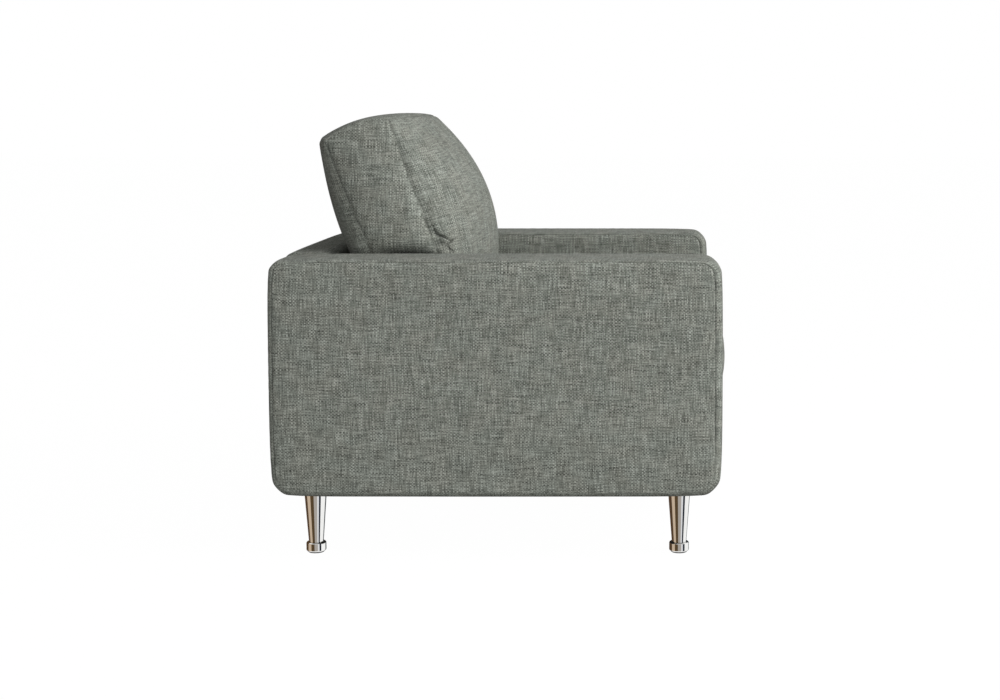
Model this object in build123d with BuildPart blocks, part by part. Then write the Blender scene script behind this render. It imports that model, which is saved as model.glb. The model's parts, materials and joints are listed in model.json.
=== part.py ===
from build123d import *
from math import cos, radians, tan
import os

# An upholstered armchair, in millimetres. The floor is Z 0, the front faces -Y and the sitter's left is +X.
os.makedirs("parts", exist_ok=True)

# Driving dimensions of the whole chair
CHAIR_WIDTH = 850
ARM_LENGTH = 850
ARM_WIDTH = 155
ARM_TOP_Z = 572
BODY_BOTTOM_Z = 123
SEAT_OVERHANG = 32  # how far the seat cushion's crown stands ahead of the arms
CORNER_RADIUS = 47  # corners of an arm seen from the side
EDGE_RADIUS = 12  # soft edge between an arm's side panels and its band
SIDES = {"left": 1, "right": -1}

# Layers of the upholstery and the play between them
COVER = 2
ARM_PAD = 13
ARM_TOP_PAD = 18
GAP = 0.3
LIP = 30  # width of cover turned under the frame

# Timber
PLY = 6
RAIL = 30
POST = 45
POST_INSET = 3  # of a post's outer face from the plywood's edge
TOP_BOARD = 22
STILE = 18
FRAME_CORNER = 35
SIDE_RAIL = 25

# Legs and levelling feet
LEG_TOP_RADIUS = 22
LEG_LOW_RADIUS = 14
LEG_FRONT_SETBACK = 78
LEG_REAR_SETBACK = 71.5
THREAD_RADIUS = 4
THREAD_PLAY = 0.05
COLLAR_RADIUS = 19
COLLAR_TOP_Z = 20
COLLAR_BOTTOM_Z = 2.5
COLLAR_ROUND = 3
STEM_LENGTH = 36
STUD_LENGTH = 70
STUD_IN_LEG = 25
GLIDE_RADIUS = 15.5
GLIDE_THICKNESS = 5
GLIDE_PIN_RADIUS = 3
GLIDE_PIN_LENGTH = 6

# Seat platform and springs
SEAT_RAIL_TOP_Z = 229
DECK_Z = 243
SPRING_COUNT = 4
SPRING_SPACING = 120
SPRING_BARS = 29
SPRING_BAR = 28
WIRE_RADIUS = 1.9

# Back
BACK_LEAN = 20
BACK_TOP_FRONT_Y = 357
BACK_PAD = 22
WEBBING = 2
WEBBING_WIDTH = 60
WEBBING_COUNT = 4

# Loose cushions
CUSHION_CLOTH = 2.5
CUSHION_PLAY = 1.5  # between a cushion's end and the arm
CUSHION_EDGE = 7  # soft edge round each end

# Positions that follow from them
SEAT_WIDTH = CHAIR_WIDTH - 2 * ARM_WIDTH
REAR_Y = (ARM_LENGTH + SEAT_OVERHANG) / 2
ARM_FRONT_Y = REAR_Y - ARM_LENGTH
ARM_X = (CHAIR_WIDTH - ARM_WIDTH) / 2
ARM_Y = (ARM_FRONT_Y + REAR_Y) / 2
ARM_HEIGHT = ARM_TOP_Z - BODY_BOTTOM_Z
ARM_MID_Z = (ARM_TOP_Z + BODY_BOTTOM_Z) / 2
FRAME_BOTTOM_Z = BODY_BOTTOM_Z + 4
FRAME_TOP_Z = ARM_TOP_Z - COVER - ARM_TOP_PAD
FRAME_FRONT_Y = ARM_FRONT_Y + COVER + ARM_PAD
FRAME_REAR_Y = REAR_Y - COVER - ARM_PAD
FRAME_WIDTH = ARM_WIDTH - 2 * (COVER + ARM_PAD)
ARM_INNER_X = SEAT_WIDTH / 2
INNER_PLY_X = ARM_INNER_X + COVER + ARM_PAD
OUTER_PLY_X = INNER_PLY_X + FRAME_WIDTH
BOTTOM_RAIL_TOP_Z = FRAME_BOTTOM_Z + POST
BOX_HALF = ARM_INNER_X - 0.5
LEG_POINTS = {
    f"{end}_{side}": (sign * ARM_X, y)
    for end, y in (("front", ARM_FRONT_Y + LEG_FRONT_SETBACK), ("rear", REAR_Y - LEG_REAR_SETBACK))
    for side, sign in SIDES.items()
}


def keep(builder, name):
    """Label a finished piece and write it under its own name."""
    builder.part.label = name
    export_step(builder.part, f"parts/{name}.step")


def across(side, near, far):
    """Span along X from near to far, mirrored for the right-hand side."""
    return sorted((side * near, side * far))


def block(name, x, y, z, bores=()):
    """A squared piece given by its span along each axis, with any bores through it."""
    with BuildPart() as piece:
        with Locations((sum(x) / 2, sum(y) / 2, sum(z) / 2)):
            Box(x[1] - x[0], y[1] - y[0], z[1] - z[0])
        for bore in bores:
            add(bore, mode=Mode.SUBTRACT)
    keep(piece, name)


def turned(x, y, points):
    """A turned piece: (radius, height) points spun round the upright axis at (x, y)."""
    with BuildPart() as piece:
        with BuildSketch(Plane(origin=(x, y, 0), x_dir=(1, 0, 0), z_dir=(0, -1, 0))):
            with BuildLine():
                Polyline(*points, close=True)
            make_face()
        revolve(axis=Axis((x, y, 0), (0, 0, 1)))
    return piece.part


def side_band(name, outer, inner, radius, inner_radius):
    """A sheet between the arms, bent along two side-view lines with rounded corners."""
    with BuildPart() as band:
        with BuildSketch(Plane.YZ.offset(-BOX_HALF)):
            with BuildLine():
                outside = FilletPolyline(*outer, radius=radius)
                if inner_radius:
                    inside = FilletPolyline(*inner, radius=inner_radius)
                else:
                    inside = Polyline(*inner)
                Line(outside @ 1, inside @ 0)
                Line(inside @ 1, outside @ 0)
            make_face()
        extrude(amount=2 * BOX_HALF)
    keep(band, name)


# Legs: a polished taper with a threaded bore at each end
LEG_TOP_Z = FRAME_BOTTOM_Z
LEG_BOTTOM_Z = COLLAR_TOP_Z + GAP
BORE_RADIUS = THREAD_RADIUS + THREAD_PLAY
STEM_TOP_Z = COLLAR_TOP_Z + STEM_LENGTH
for corner, (leg_x, leg_y) in LEG_POINTS.items():
    leg_form = turned(leg_x, leg_y, [
        (BORE_RADIUS, LEG_BOTTOM_Z),
        (LEG_LOW_RADIUS, LEG_BOTTOM_Z),
        (LEG_TOP_RADIUS, LEG_TOP_Z),
        (BORE_RADIUS, LEG_TOP_Z),
        (BORE_RADIUS, LEG_TOP_Z - STUD_IN_LEG - GAP),
        (0, LEG_TOP_Z - STUD_IN_LEG - GAP),
        (0, STEM_TOP_Z + 1),
        (BORE_RADIUS, STEM_TOP_Z + 1),
    ])
    with BuildPart() as leg:
        add(leg_form)
    keep(leg, f"{corner}_leg")

# Levelling feet: a rounded collar with a threaded stem, hollowed below for the glide
GLIDE_RECESS_Z = GLIDE_THICKNESS + GAP
PIN_TOP_Z = GLIDE_THICKNESS + GLIDE_PIN_LENGTH
for corner, (leg_x, leg_y) in LEG_POINTS.items():
    foot_form = turned(leg_x, leg_y, [
        (0, STEM_TOP_Z),
        (THREAD_RADIUS, STEM_TOP_Z),
        (THREAD_RADIUS, COLLAR_TOP_Z),
        (COLLAR_RADIUS, COLLAR_TOP_Z),
        (COLLAR_RADIUS, COLLAR_BOTTOM_Z),
        (GLIDE_RADIUS + GAP, COLLAR_BOTTOM_Z),
        (GLIDE_RADIUS + GAP, GLIDE_RECESS_Z),
        (GLIDE_PIN_RADIUS + THREAD_PLAY, GLIDE_RECESS_Z),
        (GLIDE_PIN_RADIUS + THREAD_PLAY, PIN_TOP_Z + GAP),
        (0, PIN_TOP_Z + GAP),
    ])
    with BuildPart() as foot:
        add(foot_form)
        rims = [
            edge for edge in foot.edges().filter_by(GeomType.CIRCLE)
            if abs(edge.radius - COLLAR_RADIUS) < 0.01
        ]
        fillet(rims, COLLAR_ROUND)
    keep(foot, f"{corner}_foot")

# Glides: a plastic pad on the floor with a pin that the collar turns on
for corner, (leg_x, leg_y) in LEG_POINTS.items():
    glide_form = turned(leg_x, leg_y, [
        (0, 0),
        (GLIDE_RADIUS - 0.8, 0),
        (GLIDE_RADIUS, 0.8),
        (GLIDE_RADIUS, GLIDE_THICKNESS),
        (GLIDE_PIN_RADIUS, GLIDE_THICKNESS),
        (GLIDE_PIN_RADIUS, PIN_TOP_Z),
        (0, PIN_TOP_Z),
    ])
    with BuildPart() as glide:
        add(glide_form)
    keep(glide, f"{corner}_glide")

# Studs that join the legs to the arms, and the tee nuts they screw into
STUD_BOTTOM_Z = LEG_TOP_Z - STUD_IN_LEG
TEE_BARREL_RADIUS = 5.5
TEE_BARREL = 20
TEE_FLANGE_RADIUS = 11
TEE_FLANGE = 1.5
with BuildPart() as studs:
    with BuildSketch(Plane.XY.offset(STUD_BOTTOM_Z)):
        with Locations(*LEG_POINTS.values()):
            Circle(THREAD_RADIUS)
    extrude(amount=STUD_LENGTH)
keep(studs, "leg_studs")

with BuildPart() as tee_nuts:
    with BuildSketch(Plane.XY.offset(BOTTOM_RAIL_TOP_Z - TEE_BARREL)):
        with Locations(*LEG_POINTS.values()):
            Circle(TEE_BARREL_RADIUS)
    extrude(amount=TEE_BARREL)
    with BuildSketch(Plane.XY.offset(BOTTOM_RAIL_TOP_Z)):
        with Locations(*LEG_POINTS.values()):
            Circle(TEE_FLANGE_RADIUS)
    extrude(amount=TEE_FLANGE)
    with BuildSketch(Plane.XY.offset(BOTTOM_RAIL_TOP_Z - TEE_BARREL)):
        with Locations(*LEG_POINTS.values()):
            Circle(BORE_RADIUS)
    extrude(amount=TEE_BARREL + TEE_FLANGE, mode=Mode.SUBTRACT)
keep(tee_nuts, "leg_tee_nuts")

with BuildPart() as tee_bores:
    with BuildSketch(Plane.XY.offset(FRAME_BOTTOM_Z)):
        with Locations(*LEG_POINTS.values()):
            Circle(TEE_BARREL_RADIUS + 0.1)
    extrude(amount=POST)

# Screws through the seat's side rails into the arms, and the bores they pass through
SCREW_RADIUS = 3
SCREW_HEAD_RADIUS = 6
SCREW_HEAD = 4
SCREW_LENGTH = 76
SCREW_Z = FRAME_BOTTOM_Z + POST / 2
SCREW_POINTS = [(y, SCREW_Z) for y in (ARM_Y - 270, ARM_Y, ARM_Y + 270)]
SIDE_RAIL_INNER_X = BOX_HALF - SIDE_RAIL


def cross_rods(side, start, length, radius):
    """Rods along X at the screw points, from start away from the middle of the chair."""
    with BuildPart() as rods:
        with BuildSketch(Plane.YZ.offset(side * start)):
            with Locations(*SCREW_POINTS):
                Circle(radius)
        extrude(amount=side * length)
    return rods.part


screw_shanks = [cross_rods(side, SIDE_RAIL_INNER_X, SCREW_LENGTH, SCREW_RADIUS) for side in SIDES.values()]
screw_heads = [
    cross_rods(side, SIDE_RAIL_INNER_X - SCREW_HEAD, SCREW_HEAD, SCREW_HEAD_RADIUS) for side in SIDES.values()
]
with BuildPart() as arm_screws:
    add(screw_shanks)
    add(screw_heads)
keep(arm_screws, "arm_screws")


# Arms: a timber box, a foam pad over it and a cover of two side panels and a band
def arm_form(side, inset):
    """The soft outer form of an arm, drawn in by inset all round."""
    width = ARM_WIDTH - 2 * inset
    with BuildPart() as form:
        with BuildSketch(Plane.YZ.offset(side * ARM_X - width / 2)):
            with Locations((ARM_Y, ARM_MID_Z)):
                RectangleRounded(ARM_LENGTH - 2 * inset, ARM_HEIGHT - 2 * inset, CORNER_RADIUS - inset)
        extrude(amount=width)
        fillet(form.faces().filter_by(Axis.X).edges(), EDGE_RADIUS - inset)
    return form.part


def arm_ply(x, play=0):
    """A flat shape with the outline of an arm's plywood sides, filling the span x."""
    height = FRAME_TOP_Z - FRAME_BOTTOM_Z
    length = FRAME_REAR_Y - FRAME_FRONT_Y
    with BuildPart() as sheet:
        with BuildSketch(Plane.YZ.offset(x[0] - play)):
            with Locations((ARM_Y, FRAME_BOTTOM_Z + height / 2)):
                RectangleRounded(length + 2 * play, height + 2 * play, FRAME_CORNER + play)
        extrude(amount=x[1] - x[0] + 2 * play)
    return sheet.part


CORE_NEAR_X = INNER_PLY_X + PLY
CORE_FAR_X = OUTER_PLY_X - PLY
BOARD_SPAN_Y = (FRAME_FRONT_Y + FRAME_CORNER, FRAME_REAR_Y - FRAME_CORNER)
for name, side in SIDES.items():
    core_x = across(side, CORE_NEAR_X, CORE_FAR_X)
    post_z = (BOTTOM_RAIL_TOP_Z, FRAME_TOP_Z - TOP_BOARD)
    pilot_bores = cross_rods(side, SIDE_RAIL_INNER_X, SCREW_LENGTH + 1, SCREW_RADIUS + THREAD_PLAY)
    clear_bores = cross_rods(side, SIDE_RAIL_INNER_X - 1, SCREW_LENGTH, SCREW_RADIUS + 1)
    block(f"{name}_arm_front_post", core_x, (FRAME_FRONT_Y + POST_INSET, FRAME_FRONT_Y + POST), post_z)
    block(f"{name}_arm_rear_post", core_x, (FRAME_REAR_Y - POST, FRAME_REAR_Y - POST_INSET), post_z)
    block(f"{name}_arm_top_board", core_x, BOARD_SPAN_Y, (FRAME_TOP_Z - TOP_BOARD, FRAME_TOP_Z))
    block(
        f"{name}_arm_bottom_rail", core_x, BOARD_SPAN_Y, (FRAME_BOTTOM_Z, BOTTOM_RAIL_TOP_Z),
        [tee_bores.part, pilot_bores],
    )

    inner_sheet = arm_ply(across(side, INNER_PLY_X, CORE_NEAR_X))
    with BuildPart() as inner_panel:
        add(inner_sheet)
        add(clear_bores, mode=Mode.SUBTRACT)
    keep(inner_panel, f"{name}_arm_inner_panel")

    outer_sheet = arm_ply(across(side, CORE_FAR_X, OUTER_PLY_X))
    with BuildPart() as outer_panel:
        add(outer_sheet)
    keep(outer_panel, f"{name}_arm_outer_panel")

    pad_form = arm_form(side, COVER + GAP)
    pad_hollow = arm_ply(across(side, INNER_PLY_X, OUTER_PLY_X), GAP)
    with BuildPart() as arm_pad:
        add(pad_form)
        add(pad_hollow, mode=Mode.SUBTRACT)
        add(clear_bores, mode=Mode.SUBTRACT)
        with Locations((side * ARM_X, ARM_Y, BODY_BOTTOM_Z)):
            Box(ARM_WIDTH, ARM_LENGTH, 2 * (FRAME_BOTTOM_Z - BODY_BOTTOM_Z), mode=Mode.SUBTRACT)
    keep(arm_pad, f"{name}_arm_pad")

    cover_outside = arm_form(side, 0)
    cover_inside = arm_form(side, COVER)
    with BuildPart() as arm_cover:
        add(cover_outside)
        add(cover_inside, mode=Mode.SUBTRACT)
        add(clear_bores, mode=Mode.SUBTRACT)
        with Locations((side * ARM_X, ARM_Y, BODY_BOTTOM_Z)):
            Box(ARM_WIDTH - 2 * LIP, ARM_LENGTH - 3 * LIP, 4 * COVER, mode=Mode.SUBTRACT)
    keep(arm_cover, f"{name}_arm_cover")

# Seat box: rails, a cross rail behind the springs and glued corner blocks
FRONT_RAIL_Y = (FRAME_FRONT_Y + 8, FRAME_FRONT_Y + 8 + RAIL)
BOX_REAR_Y = REAR_Y - COVER - 5
REAR_RAIL_Y = (BOX_REAR_Y - RAIL, BOX_REAR_Y)
CROSS_RAIL_Y = (196, 196 + RAIL)
RAIL_Z = (FRAME_BOTTOM_Z, SEAT_RAIL_TOP_Z)
block("front_rail", (-BOX_HALF, BOX_HALF), FRONT_RAIL_Y, RAIL_Z)
block("rear_rail", (-BOX_HALF, BOX_HALF), REAR_RAIL_Y, RAIL_Z)
block("seat_cross_rail", (-SIDE_RAIL_INNER_X, SIDE_RAIL_INNER_X), CROSS_RAIL_Y, RAIL_Z)
for name, side in SIDES.items():
    screw_bores = cross_rods(side, SIDE_RAIL_INNER_X - 1, SIDE_RAIL + 2, SCREW_RADIUS + 0.5)
    side_x = across(side, SIDE_RAIL_INNER_X, BOX_HALF)
    block(f"{name}_side_rail", side_x, (FRONT_RAIL_Y[1], REAR_RAIL_Y[0]), RAIL_Z, [screw_bores])

CORNER_BLOCK = 60
with BuildPart() as corner_blocks:
    with BuildSketch(Plane.XY.offset(SCREW_Z + 3 * SCREW_HEAD)):
        for corner_y, inward in ((FRONT_RAIL_Y[1], 1), (REAR_RAIL_Y[0], -1)):
            for side in SIDES.values():
                corner_x = side * SIDE_RAIL_INNER_X
                with BuildLine():
                    Polyline(
                        (corner_x, corner_y),
                        (corner_x - side * CORNER_BLOCK, corner_y),
                        (corner_x, corner_y + inward * CORNER_BLOCK),
                        close=True,
                    )
                make_face()
    extrude(amount=CORNER_BLOCK)
keep(corner_blocks, "corner_blocks")

# Zigzag springs from the front rail to the cross rail, with a clip over each end bar
SPRING_Z = SEAT_RAIL_TOP_Z + WIRE_RADIUS + GAP
SPRING_FRONT_Y = FRONT_RAIL_Y[1] - 10
SPRING_REAR_Y = CROSS_RAIL_Y[0] + 10
SPRING_PITCH = (SPRING_REAR_Y - SPRING_FRONT_Y) / (SPRING_BARS - 1)
SPRING_X = [SPRING_SPACING * (i - (SPRING_COUNT - 1) / 2) for i in range(SPRING_COUNT)]
for number, spring_x in enumerate(SPRING_X, start=1):
    with BuildPart() as spring:
        with BuildLine() as wire:
            for bar in range(SPRING_BARS):
                bar_y = SPRING_FRONT_Y + bar * SPRING_PITCH
                reach = SPRING_BAR / 2 if bar % 2 == 0 else -SPRING_BAR / 2
                Line((spring_x - reach, bar_y, SPRING_Z), (spring_x + reach, bar_y, SPRING_Z))
                if bar < SPRING_BARS - 1:
                    turn = SPRING_PITCH / 2 if reach > 0 else -SPRING_PITCH / 2
                    ThreePointArc(
                        (spring_x + reach, bar_y, SPRING_Z),
                        (spring_x + reach + turn, bar_y + SPRING_PITCH / 2, SPRING_Z),
                        (spring_x + reach, bar_y + SPRING_PITCH, SPRING_Z),
                    )
        with BuildSketch(Plane(origin=wire.line @ 0, z_dir=wire.line % 0)):
            Circle(WIRE_RADIUS)
        sweep(path=wire.line)
    keep(spring, f"seat_spring_{number}")

CLIP_SHEET = 1.2
CLIP_WIDTH = 12
CLIP_LENGTH = 16
CLIP_INSIDE = WIRE_RADIUS + GAP
with BuildPart() as spring_clips:
    for spring_x in SPRING_X:
        with BuildSketch(Plane.YZ.offset(spring_x - CLIP_WIDTH / 2)):
            for end_y in (SPRING_FRONT_Y, SPRING_REAR_Y):
                with Locations((end_y, SEAT_RAIL_TOP_Z + CLIP_SHEET / 2)):
                    Rectangle(CLIP_LENGTH, CLIP_SHEET)
                with Locations((end_y, SPRING_Z)):
                    Circle(CLIP_INSIDE + CLIP_SHEET)
                    Circle(CLIP_INSIDE, mode=Mode.SUBTRACT)
                with Locations((end_y, SPRING_Z - CLIP_INSIDE / 2)):
                    Rectangle(2 * CLIP_INSIDE, CLIP_INSIDE, mode=Mode.SUBTRACT)
                with Locations((end_y, SEAT_RAIL_TOP_Z - CLIP_LENGTH / 2)):
                    Rectangle(CLIP_LENGTH, CLIP_LENGTH, mode=Mode.SUBTRACT)
        extrude(amount=CLIP_WIDTH)
keep(spring_clips, "spring_clips")

# Seat platform: felt over the springs and the deck cloth over it
FELT_Z = (SPRING_Z + CLIP_INSIDE + CLIP_SHEET + GAP, DECK_Z - 3.5 - GAP)
FRONT_TURN_Y = SPRING_FRONT_Y - 10
block("seat_felt", (-240, 240), (SPRING_FRONT_Y + 10, SPRING_REAR_Y - 10), FELT_Z)
block("seat_deck_cloth", (-BOX_HALF, BOX_HALF), (FRONT_TURN_Y + GAP, CROSS_RAIL_Y[1] - 4), (DECK_Z - 3.5, DECK_Z))

# Front rail: a foam pad and its cover, below the seat cushion
FRONT_FACE_Y = ARM_FRONT_Y + 9
PAD_TOP_Z = DECK_Z - COVER - GAP
FRONT_PAD_FOOT_Z = BODY_BOTTOM_Z + EDGE_RADIUS
side_band(
    "front_rail_pad",
    [
        (FRONT_TURN_Y, PAD_TOP_Z), (FRONT_FACE_Y + COVER + GAP, PAD_TOP_Z),
        (FRONT_FACE_Y + COVER + GAP, FRONT_PAD_FOOT_Z),
    ],
    [
        (FRONT_RAIL_Y[0] - GAP, FRONT_PAD_FOOT_Z),
        (FRONT_RAIL_Y[0] - GAP, SEAT_RAIL_TOP_Z + GAP),
        (FRONT_TURN_Y, SEAT_RAIL_TOP_Z + GAP),
    ],
    EDGE_RADIUS - COVER - GAP, 0,
)
side_band(
    "front_rail_cover",
    [
        (FRONT_TURN_Y, DECK_Z), (FRONT_FACE_Y, DECK_Z),
        (FRONT_FACE_Y, BODY_BOTTOM_Z), (FRONT_FACE_Y + LIP, BODY_BOTTOM_Z),
    ],
    [
        (FRONT_FACE_Y + LIP, BODY_BOTTOM_Z + COVER), (FRONT_FACE_Y + COVER, BODY_BOTTOM_Z + COVER),
        (FRONT_FACE_Y + COVER, DECK_Z - COVER), (FRONT_TURN_Y, DECK_Z - COVER),
    ],
    EDGE_RADIUS, EDGE_RADIUS - COVER,
)


# Back: shaped stiles, rails, webbing, a pad and the covers
def back_face_y(z, depth):
    """Y of the back's sloping front at height z, set back by depth behind the cover's face."""
    slope = tan(radians(BACK_LEAN))
    return BACK_TOP_FRONT_Y - (ARM_TOP_Z - z) * slope + depth / cos(radians(BACK_LEAN))


BACK_FRAME_TOP_Z = FRAME_TOP_Z - 2
PAD_BACK = COVER + GAP + BACK_PAD
WEBBING_BACK = PAD_BACK + GAP + WEBBING
STILE_INNER_X = BOX_HALF - STILE
for name, side in SIDES.items():
    stile_x = across(side, STILE_INNER_X, BOX_HALF)
    with BuildPart() as stile:
        with BuildSketch(Plane.YZ.offset(stile_x[0])):
            with BuildLine():
                Polyline(
                    (BOX_REAR_Y, SEAT_RAIL_TOP_Z),
                    (BOX_REAR_Y, BACK_FRAME_TOP_Z),
                    (back_face_y(BACK_FRAME_TOP_Z, WEBBING_BACK), BACK_FRAME_TOP_Z),
                    (back_face_y(SEAT_RAIL_TOP_Z, WEBBING_BACK), SEAT_RAIL_TOP_Z),
                    close=True,
                )
            make_face()
        extrude(amount=STILE)
    keep(stile, f"{name}_back_stile")

STILE_SPAN_X = (-STILE_INNER_X, STILE_INNER_X)
LOWER_RAIL_Z = (DECK_Z, DECK_Z + 40)
lower_rail_y = back_face_y(LOWER_RAIL_Z[1], WEBBING_BACK) + 2
block("back_top_rail", STILE_SPAN_X, (BOX_REAR_Y - 42, BOX_REAR_Y), (BACK_FRAME_TOP_Z - RAIL, BACK_FRAME_TOP_Z))
block("back_lower_rail", STILE_SPAN_X, (lower_rail_y, lower_rail_y + RAIL), LOWER_RAIL_Z)
block("back_board", (-BOX_HALF, BOX_HALF), (BOX_REAR_Y, BOX_REAR_Y + 4), (FRAME_BOTTOM_Z, BACK_FRAME_TOP_Z))

WEBBING_MID_Z = (DECK_Z + BACK_FRAME_TOP_Z) / 2 + 10
webbing_plane = Plane(
    origin=(0, back_face_y(WEBBING_MID_Z, WEBBING_BACK), WEBBING_MID_Z),
    x_dir=(1, 0, 0),
    z_dir=Vector(0, -1, tan(radians(BACK_LEAN))),
)
with BuildPart() as webbing:
    with BuildSketch(webbing_plane):
        with GridLocations(0, WEBBING_WIDTH + 10, 1, WEBBING_COUNT):
            Rectangle(2 * BOX_HALF, WEBBING_WIDTH)
    extrude(amount=WEBBING)
keep(webbing, "back_webbing")

BACK_FOOT_Z = DECK_Z + 2
PAD_OUT = COVER + GAP
BACK_LIP_Z = ARM_TOP_Z - EDGE_RADIUS - 2
side_band(
    "back_pad",
    [
        (back_face_y(BACK_FOOT_Z, PAD_OUT), BACK_FOOT_Z),
        (back_face_y(ARM_TOP_Z - PAD_OUT, PAD_OUT), ARM_TOP_Z - PAD_OUT),
        (BOX_REAR_Y + 4, ARM_TOP_Z - PAD_OUT),
        (BOX_REAR_Y + 4, BACK_FRAME_TOP_Z + GAP),
    ],
    [
        (back_face_y(BACK_FRAME_TOP_Z + GAP, PAD_BACK), BACK_FRAME_TOP_Z + GAP),
        (back_face_y(BACK_FOOT_Z, PAD_BACK), BACK_FOOT_Z),
    ],
    EDGE_RADIUS - PAD_OUT, 0,
)
side_band(
    "inside_back_cover",
    [
        (back_face_y(BACK_FOOT_Z, 0), BACK_FOOT_Z), (BACK_TOP_FRONT_Y, ARM_TOP_Z),
        (REAR_Y, ARM_TOP_Z), (REAR_Y, BACK_LIP_Z),
    ],
    [
        (REAR_Y - COVER, BACK_LIP_Z), (REAR_Y - COVER, ARM_TOP_Z - COVER),
        (back_face_y(ARM_TOP_Z - COVER, COVER), ARM_TOP_Z - COVER), (back_face_y(BACK_FOOT_Z, COVER), BACK_FOOT_Z),
    ],
    EDGE_RADIUS, EDGE_RADIUS - COVER,
)
block("outside_back_cover", (-BOX_HALF, BOX_HALF), (REAR_Y - COVER, REAR_Y), (BODY_BOTTOM_Z, BACK_LIP_Z - GAP))

# Dust cover under the frame, with a hole for each leg
DUST_SHEET = 1.2
with BuildPart() as dust_cover:
    with BuildSketch(Plane.XY.offset(BODY_BOTTOM_Z - DUST_SHEET)):
        with Locations((0, ARM_Y)):
            Rectangle(CHAIR_WIDTH - 2 * LIP, ARM_LENGTH - 2.4 * LIP)
        with Locations(*LEG_POINTS.values()):
            Circle(LEG_TOP_RADIUS + 4, mode=Mode.SUBTRACT)
    extrude(amount=DUST_SHEET)
keep(dust_cover, "dust_cover")


# Loose cushions: side views at several places across the seat, lofted from end to end
def between(end, middle, fullness):
    """A value that is end at a cushion's ends and middle where it is fullest."""
    return end + (middle - end) * fullness


def cushion_form(half, power, corners, crowns, inset):
    """A crowned cushion: corners run rear bottom, rear top, front top, front bottom."""
    inward = ((-inset, inset), (-inset, -inset), (inset, -inset), (inset, inset))
    with BuildPart() as form:
        for station in (-1, -0.78, -0.42, 0, 0.42, 0.78, 1):
            fullness = (1 - station * station) ** power
            points = [
                (between(end[0], middle[0], fullness) + shift[0], between(end[1], middle[1], fullness) + shift[1])
                for (end, middle), shift in zip(corners, inward)
            ]
            with BuildSketch(Plane.YZ.offset(station * (half - inset))):
                with BuildLine():
                    for i, (end, middle) in enumerate(crowns):
                        crown = between(end, middle, fullness)
                        SagittaArc(points[i], points[(i + 1) % 4], -crown)
                make_face()
        loft()
        fillet(form.faces().filter_by(Axis.X).edges(), CUSHION_EDGE - inset)
    return form.part


def cushion(name, half, power, corners, crowns):
    """A cushion's cover and the filling inside it."""
    outside = cushion_form(half, power, corners, crowns, 0)
    inside = cushion_form(half, power, corners, crowns, CUSHION_CLOTH)
    stuffing = cushion_form(half, power, corners, crowns, CUSHION_CLOTH + 2 * GAP)
    with BuildPart() as cover:
        add(outside)
        add(inside, mode=Mode.SUBTRACT)
    keep(cover, f"{name}_cover")
    with BuildPart() as filling:
        add(stuffing)
    keep(filling, f"{name}_filling")


CUSHION_HALF = SEAT_WIDTH / 2 - CUSHION_PLAY
SEAT_BOTTOM_Z = DECK_Z + 1
SEAT_REAR_Y = 217
SEAT_TOP_END_Z = 415
SEAT_TOP_MID_Z = 422
SEAT_FRONT_END_Y = -398
SEAT_FRONT_CROWN = 35
SEAT_TOP_CROWN = 27
SEAT_FRONT_MID_Y = -REAR_Y + SEAT_FRONT_CROWN
seat_corners = [
    ((SEAT_REAR_Y, SEAT_BOTTOM_Z), (SEAT_REAR_Y, SEAT_BOTTOM_Z)),
    ((SEAT_REAR_Y, SEAT_TOP_END_Z), (SEAT_REAR_Y, SEAT_TOP_MID_Z)),
    ((SEAT_FRONT_END_Y, SEAT_TOP_END_Z), (SEAT_FRONT_MID_Y, SEAT_TOP_MID_Z)),
    ((SEAT_FRONT_END_Y, SEAT_BOTTOM_Z), (SEAT_FRONT_MID_Y, SEAT_BOTTOM_Z)),
]
seat_crowns = [(4, 6), (8, SEAT_TOP_CROWN), (10, SEAT_FRONT_CROWN), (0.2, 0.2)]
cushion("seat_cushion", CUSHION_HALF, 0.7, seat_corners, seat_crowns)

BACK_FRONT_CROWN = 77
BACK_REAR_CROWN = 27
BACK_TOP_CROWN = 19.5
back_corners = [
    ((229, 435), (268, 429)),
    ((366, 787), (389, 794)),
    ((237, 833), (190, 843)),
    ((86, 441), (77, 445)),
]
back_crowns = [(6, BACK_REAR_CROWN), (6, BACK_TOP_CROWN), (8, BACK_FRONT_CROWN), (0.5, 1)]
cushion("back_cushion", CUSHION_HALF, 0.6, back_corners, back_crowns)
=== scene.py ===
# %% [markdown]
# # An upholstered armchair
# A low, boxy armchair in grey-green tweed, with a loose seat cushion, a loose back cushion and polished
# tapered legs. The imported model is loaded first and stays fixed. Everything made here sits on it, in the
# same frame and in metres: the floor is Z 0, the sitter faces -Y and the sitter's left is +X.

# %% Load the fixed frame
import json
from math import cos, pi, radians, sin, tan

import bmesh
import bpy
import numpy as np
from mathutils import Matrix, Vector, kdtree


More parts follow.
